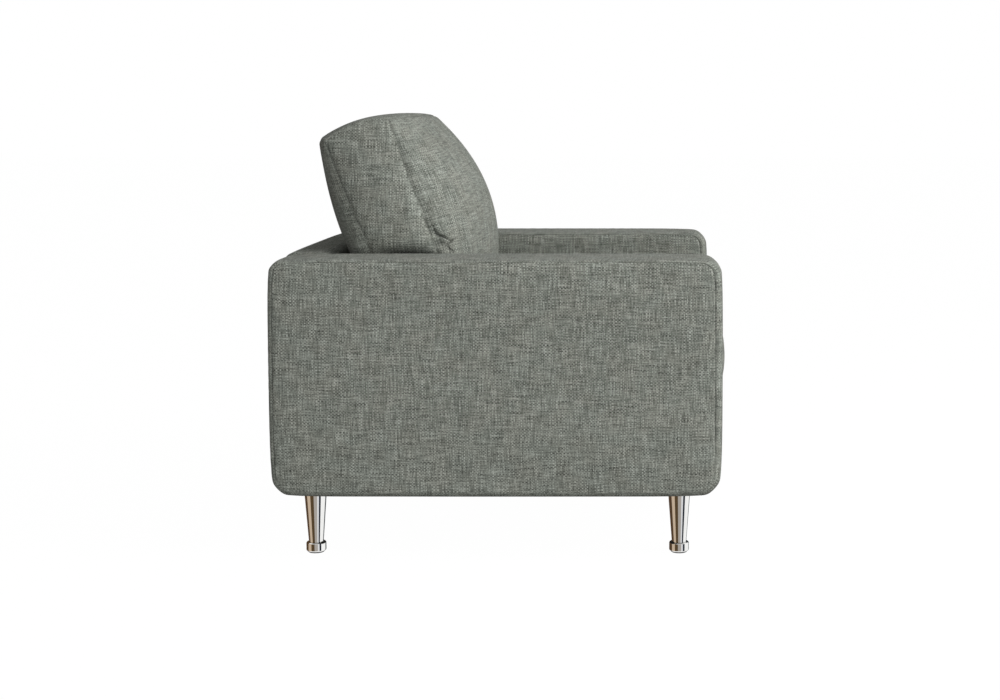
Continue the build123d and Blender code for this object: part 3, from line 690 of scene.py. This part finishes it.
def make_arm(name, side):
    """One arm; side is 1 for the sitter's left and -1 for the right."""
    low, high = (np.array(corner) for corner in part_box(f"{name}_arm_cover"))
    middle = (low + high) / 2
    half_width = (high[0] - low[0]) / 2
    panels = arm_panels(low, high, side)
    arm = sew(f"{name}_arm_upholstery", panels, tweed)
    points = mesh_points(arm.data)
    outer = np.clip((points[:, 0] - middle[0]) * side / half_width, 0, 1)
    points[:, 0] += side * ARM_UNEVEN * outer * uneven(points, UNEVEN_SIZE, 4.0 + side)
    move_points(arm, points)
    # The seam stops a little above the arm's lower edge.
    band = panels[-1][0]
    seam = [line[line[:, 2] > low[2] + SEAM_STOP] for line in (band[0], band[-1])]
    # The seam is drawn in as a groove, with painted shade along it.
    draw_in(arm, seam, SEAM_DEPTH, SEAM_HALF_WIDTH, SEAM_PUCKER, ARM_SEAM_SHADE)
    # Foam gives way at the corners, so they lie further in than a sharp box would.
    points = mesh_points(arm.data)
    corners = ((high[1], high[2]), (low[1], high[2]), (low[1], low[2]), (high[1], low[2]))
    for softness, (y, z) in zip(ARM_SOFTNESS, corners):
        away = np.linalg.norm(points[:, 1:] - (y, z), axis=1)
        inwards = np.sign((middle[1] - y, middle[2] - z)) * (1, 0.8)
        points[:, 1:] += softness * np.exp(-away / SOFT_REACH)[:, None] * inwards
    move_points(arm, points)
    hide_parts(f"{name}_arm_cover", f"{name}_arm_pad")
    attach(arm, "frame")
    print(arm.name, len(arm.data.polygons), "faces")


for arm_name, arm_side in (("left", 1), ("right", -1)):
    make_arm(arm_name, arm_side)

# %% [markdown]
# ## Back and front rail
# Between the arms the frame is covered by one length of cloth over thin padding: from under the frame up
# the outside of the back, over its top, and down the sloping inside, where it is pulled through behind the
# deck. The rail under the seat cushion is covered the same way. Flat pieces with thickened edges would
# leave timber in sight beside the arms, so each is a sheet bent along a path, and its sides are turned in
# there as an upholsterer tucks them. The outside of the back has the arm's seam just under its top.

# %% Path of a bent sheet
TURN_POINTS = 9
PATH_STEP = 0.008


def rounded_path(corners, radii, extra=()):
    """Distances and points along straight runs with rounded turns, in (y, z); extra adds more distances."""
    corners = np.array(corners)
    path = [corners[0]]
    for before, corner, after, radius in zip(corners, corners[1:], corners[2:], radii):
        inward = (before - corner) / np.linalg.norm(before - corner)
        onward = (after - corner) / np.linalg.norm(after - corner)
        half = np.arccos(np.clip(inward @ onward, -1, 1)) / 2
        centre = corner + (inward + onward) / np.linalg.norm(inward + onward) * radius / sin(half)
        start = corner + inward * radius / tan(half) - centre
        end = corner + onward * radius / tan(half) - centre
        for t in np.linspace(0, 1, TURN_POINTS):
            spoke = start * (1 - t) + end * t
            path.append(centre + spoke / np.linalg.norm(spoke) * radius)
    path = np.array(path + [corners[-1]])
    runs = run_lengths(path)
    wanted = np.unique(np.concatenate((runs, np.arange(0, runs[-1], PATH_STEP), extra)))
    return wanted, np.column_stack([np.interp(wanted, runs, path[:, i]) for i in (0, 1)])


# %% Bent padded sheet
TURN_ROUND = 0.006
TURN_IN = 0.25
TURN_ROWS = 5
HALF_ROWS = 31
BACK_SEAM_SHADE = 0.5
SEAM_POINTS = 600


def bent_sheet(name, path, thickness, half_width, fullness, seam_run=None):
    """A padded sheet bent along a path in (y, z), turned in beside the arms, with a seam across if asked."""
    extra = () if seam_run is None else seam_run + np.concatenate((-NEAR_SEAM, NEAR_SEAM))
    runs, outer = rounded_path(*path, extra)
    along = np.gradient(outer, runs, axis=0)
    outward = np.column_stack((along[:, 1], -along[:, 0]))
    turned = outer - outward * TURN_ROUND
    heart = (outer[0] + outer[-1]) / 2
    flat_half = half_width - TURN_ROUND

    def rows(inset):
        """One face, inset below the outer one: the width, a rounded edge, and the part turned in."""
        reach = TURN_ROUND - inset
        half = []
        for share in np.sin(np.linspace(0, pi / 2, HALF_ROWS)):
            half.append((flat_half * share, outer + outward * (fullness * (1 - share ** 4) - inset)))
        for angle in np.linspace(0, pi / 2, TURN_ROWS + 1)[1:]:
            half.append((flat_half + reach * sin(angle), turned + outward * reach * cos(angle)))
        for share in np.linspace(0, TURN_IN, TURN_ROWS + 1)[1:]:
            half.append((flat_half + reach, turned + (heart - turned) * share))
        full = [(-x, profile) for x, profile in half[:0:-1]] + half
        return np.array([np.column_stack((np.full(len(profile), x), profile)) for x, profile in full])

    faces = {"out": rows(0.0), "in": rows(thickness)}
    across = run_lengths(faces["out"][:, len(runs) // 2])
    flat = np.stack(np.meshgrid(across, runs, indexing="ij"), axis=-1)
    panels = [(faces["out"], flat), (faces["in"], flat)]
    for end in (0, -1):
        panels.append((np.stack([faces["out"][end], faces["in"][end]]), flat[:2]))
        panels.append((np.stack([faces["out"][:, end], faces["in"][:, end]]), flat[:, :2].transpose(1, 0, 2)))
    piece = sew(name, panels, tweed)
    if seam_run is not None:
        edge_rows = 2 * TURN_ROWS
        seam = faces["out"][edge_rows:-edge_rows, np.argmin(np.abs(runs - seam_run))]
        steps = np.arange(len(seam))
        fine = np.linspace(0, steps[-1], SEAM_POINTS)
        line = np.column_stack([np.interp(fine, steps, seam[:, axis]) for axis in range(3)])
        # The seam is drawn in as a groove, with painted shade along it.
        draw_in(piece, [line], SEAM_DEPTH, SEAM_HALF_WIDTH, SEAM_PUCKER, BACK_SEAM_SHADE)
    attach(piece, "frame")
    print(piece.name, len(piece.data.polygons), "faces")
    return piece


# %% Back and front rail
BACK_LEAN = radians(20)
BACK_ROUND = 0.020
RAIL_ROUND = 0.012
UNDER_ROUND = 0.008
UNDER = 0.030
TUCK = 0.002
PULLED_THROUGH = 0.032
BACK_THICKNESS = 0.005
BACK_FULLNESS = 0.0015
BACK_SEAM_BELOW = 0.026
RAIL_THICKNESS = 0.004
RAIL_FULLNESS = 0.002
back_low, back_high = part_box("outside_back_cover")
inside_low, inside_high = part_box("inside_back_cover")
lean = tan(BACK_LEAN) * (inside_high.z - inside_low.z)
drop = PULLED_THROUGH * tan(BACK_LEAN)
back_path = [
    (back_high.y - UNDER, back_low.z), (back_high.y, back_low.z), (back_high.y, inside_high.z),
    (inside_low.y + lean, inside_high.z), (inside_low.y - drop, inside_low.z - PULLED_THROUGH),
]
back_radii = (UNDER_ROUND, BACK_ROUND, BACK_ROUND)
# The run to the seam: under the frame, round the lower turn, and up to a little below the top.
back_seam = UNDER - (2 - pi / 2) * UNDER_ROUND + inside_high.z - back_low.z - BACK_SEAM_BELOW
back = bent_sheet(
    "back_upholstery", (back_path, back_radii), BACK_THICKNESS, back_high.x + TUCK, BACK_FULLNESS, back_seam
)
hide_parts("outside_back_cover", "inside_back_cover", "back_pad")

rail_low, rail_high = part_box("front_rail_cover")
rail_path = [
    (rail_high.y, rail_high.z), (rail_low.y, rail_high.z),
    (rail_low.y, rail_low.z), (rail_low.y + UNDER, rail_low.z),
]
rail_radii = (RAIL_ROUND, UNDER_ROUND)
rail = bent_sheet(
    "front_rail_upholstery", (rail_path, rail_radii), RAIL_THICKNESS, rail_high.x + TUCK, RAIL_FULLNESS
)
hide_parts("front_rail_cover", "front_rail_pad")

# %% [markdown]
# ## Loose cushions
# Both cushions are soft boxes: a front and a rear panel, or a top and a bottom one, joined by a boxing
# strip. A cube could be sculpted round, but then the seams would have to be found again on it. Here six
# panels are shaped first. Across the chair the section swells from the sewn ends to the middle, and it does
# so steeply at first, which gives the full, round shoulders that show in the photograph. The ends are
# panels of their own.

# %% Cushion panels
EDGE_STEPS = (90, 40)
STATIONS = 84


def cushion_edge(start, end, crown, steps):
    """A crowned edge from start to end, finer near its ends."""
    u = np.linspace(0, 1, steps + 1)
    t = 0.5 * u + 0.25 * (1 - np.cos(pi * u))
    straight = end - start
    outward = np.array((straight[1], -straight[0])) / np.linalg.norm(straight)
    return start + straight * t[:, None] + outward * (4 * crown * t * (1 - t))[:, None]


def cushion_panels(half_width, power, corners, crowns, bulge):
    """Four panels round a cushion and two ends. Corners run rear low, rear high, front high, front low."""
    spread = np.sin(np.linspace(-pi / 2, pi / 2, STATIONS + 1))
    fullness = np.clip(1 - spread ** 2, 0, 1) ** power
    sides = [[], [], [], []]
    for share in fullness:
        points = [np.array(end) * (1 - share) + np.array(middle) * share for end, middle in corners]
        for i in range(4):
            crown = crowns[i][0] + (crowns[i][1] - crowns[i][0]) * share ** 0.6
            sides[i].append(cushion_edge(points[i], points[(i + 1) % 4], crown, EDGE_STEPS[i % 2]))
    sides = [np.array(side) for side in sides]
    across = half_width * spread
    panels = []
    for side in sides:
        grid = np.concatenate((np.broadcast_to(across[:, None, None], (*side.shape[:2], 1)), side), axis=2)
        middle_run = run_lengths(grid[STATIONS // 2])
        middle_across = run_lengths(grid[:, side.shape[1] // 2])
        panels.append((grid, np.stack(np.meshgrid(middle_across, middle_run, indexing="ij"), axis=-1)))
    # Each end is stretched between the four edges that it is sewn to.
    rear, top, front, bottom = (side[0] for side in sides)
    u = np.linspace(0, 1, EDGE_STEPS[1] + 1)[:, None, None]
    v = np.linspace(0, 1, EDGE_STEPS[0] + 1)[None, :, None]
    front, bottom = front[::-1], bottom[::-1]
    patch = (1 - u) * rear[None] + u * front[None] + (1 - v) * bottom[:, None] + v * top[:, None]
    patch -= (1 - u) * (1 - v) * rear[0] + (1 - u) * v * rear[-1] + u * (1 - v) * front[0] + u * v * front[-1]
    rise = (16 * u * (1 - u) * v * (1 - v))[:, :, 0] ** 0.6
    for end in (-1, 1):
        out = end * (half_width + bulge(patch[:, :, 1]) * rise)
        panels.append((np.concatenate((out[:, :, None], patch), axis=2), patch.copy()))
    return panels


# %% Corners and seams of a cushion
SEAM_WANDER = 0.002
SEAM_WANDER_SIZE = 0.035
LINE_STEP = 0.001


def soften(piece, rounds):
    """Round a cushion's corners a little by settling each point towards its neighbours."""
    mesh = bmesh.new()
    mesh.from_mesh(piece.data)
    for _ in range(rounds):
        bmesh.ops.smooth_vert(
            mesh, verts=mesh.verts, factor=0.5, use_axis_x=True, use_axis_y=True, use_axis_z=True
        )
    mesh.to_mesh(piece.data)
    mesh.free()


def seam_points(piece, panels, face_sides):
    """Numbers of the mesh points along the edges of the named panels, one list for each edge."""
    tree = kdtree.KDTree(len(piece.data.vertices))
    for vertex in piece.data.vertices:
        tree.insert(vertex.co, vertex.index)
    tree.balance()
    edges = []
    for i in face_sides:
        grid = panels[i][0]
        edges += [grid[0], grid[-1], grid[:, 0], grid[:, -1]]
    return [[tree.find(point)[1] for point in edge] for edge in edges]


def fine_lines(piece, numbers):
    """The lines through numbered mesh points as they lie now, with a point every millimetre."""
    points = mesh_points(piece.data)
    lines = []
    for edge in numbers:
        runs = run_lengths(points[edge])
        fine = np.arange(0, runs[-1], LINE_STEP)
        line = np.column_stack([np.interp(fine, runs, points[edge, axis]) for axis in range(3)])
        line[:, 1] += SEAM_WANDER * uneven(line, SEAM_WANDER_SIZE, 2.0)
        lines.append(line)
    return lines


# %% [markdown]
# ## Swelling
# A filled cover is full in the middle of each panel and held in along its seams. That could be drawn by
# hand with more crowns, but cloth finds it by itself: a short simulation blows the cover up with its seams
# held, and the result is kept as a plain mesh. It may move no point further than a limit, so the cushion
# stays close to the outline in the photograph.

# %% A sewn and swelled cushion
SWELL_FRAMES = 20
SWELL_PRESSURE = 4.0
SWELL_LIMIT = 0.007
SOFT_ROUNDS = 4
# Depth, half width, pucker and painted shade.
CUSHION_SEAM = (0.0035, 0.0032, 0.0016, 0.5)


def swell(piece, seams, pressure, furthest):
    """Blow a sewn cover up between its seams in a cloth simulation, within a limit, and keep the result."""
    before = mesh_points(piece.data)
    sewn = piece.vertex_groups.new(name="sewn")
    sewn.add([number for edge in seams for number in edge], 1.0, "REPLACE")
    cloth = piece.modifiers.new("swell", "CLOTH")
    cloth.settings.vertex_group_mass = "sewn"
    cloth.settings.quality = 6
    cloth.settings.mass = 0.35
    cloth.settings.tension_stiffness = 25
    cloth.settings.compression_stiffness = 25
    cloth.settings.shear_stiffness = 8
    cloth.settings.bending_stiffness = 1.5
    cloth.settings.use_pressure = True
    cloth.settings.uniform_pressure_force = pressure
    cloth.settings.effector_weights.gravity = 0
    cloth.collision_settings.use_collision = False
    for number in range(1, SWELL_FRAMES + 1):
        bpy.context.scene.frame_set(number)
    swollen = piece.evaluated_get(bpy.context.evaluated_depsgraph_get())
    shift = mesh_points(swollen.data) - before
    piece.modifiers.remove(cloth)
    piece.vertex_groups.remove(sewn)
    bpy.context.scene.frame_set(1)
    far = np.linalg.norm(shift, axis=1, keepdims=True)
    shift *= np.minimum(1, furthest / np.maximum(far, 1e-9))
    move_points(piece, before + shift)
    print(piece.name, "swelled by up to", round(float(far.max()) * 1000, 1), "mm before the limit")


def make_cushion(name, panels, face_sides):
    """Sew a cushion, round its corners, swell it, and draw in the seams round the named panels with painted
    shade.
    """
    cushion = sew(name, panels, tweed)
    seams = seam_points(cushion, panels, face_sides)
    soften(cushion, SOFT_ROUNDS)
    swell(cushion, seams, SWELL_PRESSURE, SWELL_LIMIT)
    draw_in(cushion, fine_lines(cushion, seams), *CUSHION_SEAM)
    return cushion


# %% [markdown]
# ## Creases
# Where the back cushion's end meets the top of the arm, the filling is pushed up and the cloth folds. A
# simulation of the two pressed together might fold it elsewhere, and the photograph shows where the folds
# are. So each fold is a short path on the cushion's end, the cloth is pressed in along it and shade is
# painted into it, and faces there are split first so that folds of a few millimetres come out.

# %% Folds in a cushion's ends
CREASE_POINTS = 80
CREASE_FROM = 0.2
CREASE_BLEND = 0.06


def refine(piece, low, high):
    """Split the faces at a cushion's ends inside a box of (y, z), so that small folds come out."""
    mesh = bmesh.new()
    mesh.from_mesh(piece.data)
    chosen = set()
    for face in mesh.faces:
        _, y, z = face.calc_center_median()
        if abs(face.normal.x) > 0.7 and low[0] < y < high[0] and low[1] < z < high[1]:
            chosen.update(face.edges)
    bmesh.ops.subdivide_edges(mesh, edges=list(chosen), cuts=2, use_grid_fill=True)
    mesh.to_mesh(piece.data)
    mesh.free()


def crease(piece, path, depth, half_width, shade):
    """Press a fold into both ends of a cushion along a path in (y, z), and paint its shade into the cloth."""
    path = np.array(path)
    runs = run_lengths(path)
    fine = np.linspace(0, runs[-1], CREASE_POINTS)
    line = np.column_stack([np.interp(fine, runs, path[:, i]) for i in (0, 1)])
    ease = np.sin(pi * np.clip(fine / runs[-1], 0.08, 0.92))
    points = mesh_points(piece.data)
    gaps = np.linalg.norm(points[:, None, 1:] - line[None], axis=2)
    nearest = gaps.argmin(axis=1)
    side = np.clip((np.abs(points[:, 0]) - CREASE_FROM) / CREASE_BLEND, 0, 1)
    strength = side * ease[nearest] * np.exp(-gaps.min(axis=1) / half_width)
    points[:, 0] -= np.sign(points[:, 0]) * depth * strength
    move_points(piece, points)
    # Shade painted into the fold.
    paint_fold_shade(piece, shade * strength)


# %% [markdown]
# ## Back cushion
# The loose back cushion leans on the back and is the fullest shape of the chair. Beside the arms its ends
# are flat, and above them they roll out over the arm tops. Its section could be taken from the solid, but
# the solid is plainer than the real cushion, so corners and crowns are values fitted to the photograph, and
# guessed where an arm hides them: each corner is (y, z) at the sewn end and in the middle of the chair, and
# each crown likewise.

# %% Back cushion
CUSHION_HALF = 0.2685
BACK_POWER = 0.6
ARM_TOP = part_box("left_arm_cover")[1].z
ROLL_START = 0.001
ROLL_HEIGHT = 0.034
ROLL_OUT = 0.016


def over_arms(height):
    """How far a cushion's end rolls out: nothing beside the arms, and a full round just above them."""
    rise = np.clip((height - ARM_TOP - ROLL_START) / ROLL_HEIGHT, 0, 1)
    return ROLL_OUT * np.sqrt(1 - (1 - rise) ** 2)


back_corners = (
    ((0.212, 0.435), (0.267, 0.429)), ((0.359, 0.788), (0.396, 0.794)),
    ((0.234, 0.835), (0.187, 0.842)), ((0.096, 0.441), (0.066, 0.445)),
)
back_crowns = ((0.001, 0.032), (0.012, 0.020), (-0.001, 0.067), (0.0005, 0.001))
back_panels = cushion_panels(CUSHION_HALF, BACK_POWER, back_corners, back_crowns, over_arms)
back_cushion = make_cushion("back_cushion_soft", back_panels, (0, 2))

# %% Pinch of the back cushion
# Paths in (y, z): where the end lies on the arm, the hollow at its front, the pinch, and two small folds.
# Shade is painted along each; the broad shade along the first stands for the shadow where the end lies on the
# arm.
CONTACT = ((0.285, 0.571), (0.200, 0.571), (0.115, 0.572))
PINCH_HOLLOW = ((0.150, 0.586), (0.136, 0.591), (0.118, 0.591))
PINCH = ((0.152, 0.630), (0.142, 0.607), (0.131, 0.603), (0.121, 0.597), (0.112, 0.593))
PINCH_FOLDS = (
    ((0.102, 0.602), (0.112, 0.596), (0.125, 0.585), (0.138, 0.577)),
    ((0.125, 0.587), (0.117, 0.578), (0.109, 0.570)),
)
PINCH_BOX = ((0.090, 0.560), (0.180, 0.640))
# Path, depth, half width and painted shade.
creases = [(CONTACT, 0.004, 0.017, 0.9), (PINCH_HOLLOW, 0.008, 0.010, 0.7), (PINCH, 0.009, 0.0032, 0.9)]
creases += [(fold, 0.006, 0.0028, 0.8) for fold in PINCH_FOLDS]
refine(back_cushion, *PINCH_BOX)
for fold in creases:
    crease(back_cushion, *fold)
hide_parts("back_cushion_cover", "back_cushion_filling")
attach(back_cushion, "back_cushion")
print(back_cushion.name, len(back_cushion.data.polygons), "faces,", len(creases), "folds")

# %% [markdown]
# ## Seat cushion
# The loose seat cushion fills the space between the arms, and only the crown of its front shows in the
# photograph. It could be a plain block there, but it shows in full when it is pulled out. It is made as the
# back cushion is, with a flatter top, and its ends stay flat because the arms hold them.

# %% Seat cushion
SEAT_POWER = 0.7
seat_corners = (
    ((0.217, 0.244), (0.217, 0.244)), ((0.217, 0.415), (0.217, 0.422)),
    ((-0.398, 0.425), (-0.405, 0.440)), ((-0.398, 0.262), (-0.402, 0.254)),
)
seat_crowns = ((0.001, 0.001), (0.006, 0.021), (0.007, 0.028), (0.0002, 0.0002))
seat_panels = cushion_panels(CUSHION_HALF, SEAT_POWER, seat_corners, seat_crowns, lambda height: 0 * height)
seat_cushion = make_cushion("seat_cushion_soft", seat_panels, (1, 3))
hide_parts("seat_cushion_cover", "seat_cushion_filling")
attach(seat_cushion, "seat_cushion")
print(seat_cushion.name, len(seat_cushion.data.polygons), "faces")

# %% [markdown]
# ## Deck cloth
# Two plain cloths close the frame, and the first is stretched over the springs, under the seat cushion. It
# shows when the cushion is out, and dips a little between the springs. A cloth simulation could find the
# dips, but they are less than 2 mm, so a wave with the springs' spacing draws them, on a thin sheet with a
# fine grid.

# %% Thin sheet
GRID_STEP = 0.006
CLOTH_THICKNESS = 0.0008


def cloth_sheet(name, low, high, drop, holes, finish):
    """A thin level sheet between two corners; drop(x, y) is how far it hangs; holes are (x, y, radius)."""
    mesh = bmesh.new()
    across, along = (np.linspace(low[i], high[i], round((high[i] - low[i]) / GRID_STEP) + 1) for i in (0, 1))
    x, y = np.meshgrid(across, along, indexing="ij")
    cut = np.zeros(x.shape, bool)
    for hole_x, hole_y, radius in holes:
        away = np.hypot(x - hole_x, y - hole_y)
        edge = np.abs(away - radius) < GRID_STEP * 0.5
        x = np.where(edge, hole_x + (x - hole_x) * radius / away, x)
        y = np.where(edge, hole_y + (y - hole_y) * radius / away, y)
        cut |= (away < radius) & ~edge
    points = np.stack((x, y, high[2] - drop(x, y)), axis=-1)
    grid = [[mesh.verts.new(point) for point in row] for row in points]
    for i in range(len(across) - 1):
        for j in range(len(along) - 1):
            if not cut[i:i + 2, j:j + 2].any():
                face = mesh.faces.new((grid[i][j], grid[i + 1][j], grid[i + 1][j + 1], grid[i][j + 1]))
                face.smooth = True
    bmesh.ops.delete(mesh, geom=[vertex for vertex in mesh.verts if not vertex.link_faces], context="VERTS")
    bmesh.ops.solidify(mesh, geom=mesh.faces[:], thickness=CLOTH_THICKNESS)
    bmesh.ops.recalc_face_normals(mesh, faces=mesh.faces)
    data = bpy.data.meshes.new(name)
    mesh.to_mesh(data)
    mesh.free()
    data.materials.append(finish)
    sheet = bpy.data.objects.new(name, data)
    bpy.context.scene.collection.objects.link(sheet)
    print(name, len(data.polygons), "faces")
    return sheet


# %% Deck cloth
SPRING_GAP = 0.12
DECK_DIP = 0.0007
DECK_EXTRA = 0.005


def deck_drop(x, y):
    """How far the deck cloth hangs between the springs."""
    return DECK_DIP * (1 + np.cos(2 * pi * x / SPRING_GAP))


deck_low, deck_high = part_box("seat_deck_cloth")
# A little more cloth at the rear covers the rail there.
deck_high.y += DECK_EXTRA
deck = cloth_sheet("deck_cloth", deck_low, deck_high, deck_drop, (), finishes["deck_cloth"])
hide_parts("seat_deck_cloth")
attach(deck, "frame")

# %% [markdown]
# ## Dust cover
# The second cloth is stretched under the frame, turned in at its edge and cut round each leg. It shows only
# from below. It sags slightly and is drawn in where it is held. Those are small, regular shapes, so
# formulas draw them on the same kind of sheet, and no simulation is needed.

# %% Dust cover
HEM = 0.014
HEM_STEP = 0.0006
SAG = 0.006
STAPLE_SPACING = 0.045
STAPLE_GATHER = 0.0008
STAPLE_REACH = 0.03
LEG_CLEARANCE = 0.004
dust_low, dust_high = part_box("dust_cover")
dust_middle = (dust_low + dust_high) / 2
dust_size = dust_high - dust_low
leg_holes = []
for corner in ("front_left", "front_right", "rear_left", "rear_right"):
    leg_low, leg_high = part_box(f"{corner}_leg")
    centre = (leg_low + leg_high) / 2
    leg_holes.append((centre.x, centre.y, (leg_high.x - leg_low.x) / 2 + LEG_CLEARANCE))


def dust_drop(x, y):
    """How far the dust cover hangs: a slight sag, a turned-in edge, and gathers between its staples."""
    from_side = dust_size.x / 2 - np.abs(x - dust_middle.x)
    from_end = dust_size.y / 2 - np.abs(y - dust_middle.y)
    inside = np.minimum(from_side, from_end)
    run = np.where(from_side < from_end, y, x)
    sag = SAG * (from_side * from_end) / (dust_size.x * dust_size.y / 4)
    gathers = STAPLE_GATHER * (1 - np.cos(2 * pi * run / STAPLE_SPACING)) * np.exp(-inside / STAPLE_REACH)
    return sag + gathers + HEM_STEP * (inside < HEM)


dust = cloth_sheet("dust_cloth", dust_low, dust_high, dust_drop, leg_holes, finishes["dust_cloth"])
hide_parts("dust_cover")
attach(dust, "frame")

# %% [markdown]
# ## Staples
# The dust cover is held by wire staples, shot in at even steps along its edge and never quite in line. They
# could be copied in a loop, but a small node tree shows better how they are set out: a rectangle inside the
# edge, points along it, one bar on each point, and a little random turn. Its sizes are inputs, so the same
# tree serves another cover.

# %% Node tree for staples
def staple_tree(material):
    """A node tree that sets staples along a rectangle; its sizes are inputs."""
    tree = bpy.data.node_groups.new("staples_along_edge", "GeometryNodeTree")
    tree.interface.new_socket("Geometry", in_out="OUTPUT", socket_type="NodeSocketGeometry")
    kinds = {"Centre": "Vector", "Seed": "Int"}
    for label in ("Width", "Length", "Spacing", "Crown", "Wire", "Turn", "Centre", "Seed"):
        tree.interface.new_socket(label, in_out="INPUT", socket_type="NodeSocket" + kinds.get(label, "Float"))
    given = add_node(tree, "NodeGroupInput").outputs
    edge = add_node(
        tree, "GeometryNodeCurvePrimitiveQuadrilateral", {"Width": given["Width"], "Height": given["Length"]}
    )
    points = add_node(
        tree, "GeometryNodeCurveToPoints", {"Curve": edge.outputs[0], "Length": given["Spacing"]},
        mode="LENGTH",
    )
    size = add_node(tree, "ShaderNodeCombineXYZ", {0: given["Wire"], 1: given["Wire"], 2: given["Crown"]})
    bar = add_node(tree, "GeometryNodeMeshCube", {"Size": size.outputs[0]})
    back = add_node(tree, "ShaderNodeMath", {0: given["Turn"]}, {1: -1}, operation="MULTIPLY")
    spread = add_node(
        tree, "FunctionNodeRandomValue", {2: back.outputs[0], 3: given["Turn"], "Seed": given["Seed"]},
        data_type="FLOAT",
    )
    swing = add_node(tree, "ShaderNodeCombineXYZ", {2: spread.outputs[1]})
    twist = add_node(tree, "FunctionNodeEulerToRotation", {0: swing.outputs[0]})
    facing = add_node(
        tree, "FunctionNodeRotateRotation",
        {"Rotation": points.outputs["Rotation"], "Rotate By": twist.outputs[0]}, rotation_space="GLOBAL",
    )
    set_out = add_node(
        tree, "GeometryNodeInstanceOnPoints",
        {"Points": points.outputs["Points"], "Instance": bar.outputs["Mesh"], "Rotation": facing.outputs[0]},
    )
    placed = add_node(
        tree, "GeometryNodeTransform", {"Geometry": set_out.outputs[0], "Translation": given["Centre"]}
    )
    real = add_node(tree, "GeometryNodeRealizeInstances", {"Geometry": placed.outputs[0]})
    finished = add_node(
        tree, "GeometryNodeSetMaterial", {"Geometry": real.outputs[0]}, {"Material": material}
    )
    add_node(tree, "NodeGroupOutput", {0: finished.outputs[0]})
    return tree


# %% Staples round the dust cover
STAPLE_WIRE = 0.001
STAPLE_CROWN = 0.011
STAPLE_TURN = 0.12
staple_sizes = {
    "Width": dust_size.x - HEM, "Length": dust_size.y - HEM, "Spacing": STAPLE_SPACING, "Crown": STAPLE_CROWN,
    "Wire": STAPLE_WIRE, "Turn": STAPLE_TURN, "Seed": 7,
    "Centre": (dust_middle.x, dust_middle.y, dust_high.z - HEM_STEP - CLOTH_THICKNESS),
}
source = bpy.data.objects.new("staple_source", bpy.data.meshes.new("staple_source"))
bpy.context.scene.collection.objects.link(source)
setting_out = source.modifiers.new("staples", "NODES")
setting_out.node_group = staple_tree(finishes["zinc_steel"])
for socket in setting_out.node_group.interface.items_tree:
    if socket.in_out == "INPUT":
        setting_out[socket.identifier] = staple_sizes[socket.name]
made = source.evaluated_get(bpy.context.evaluated_depsgraph_get())
staples = bpy.data.objects.new("dust_cover_staples", bpy.data.meshes.new_from_object(made))
bpy.context.scene.collection.objects.link(staples)
bpy.data.objects.remove(source)
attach(staples, "frame")
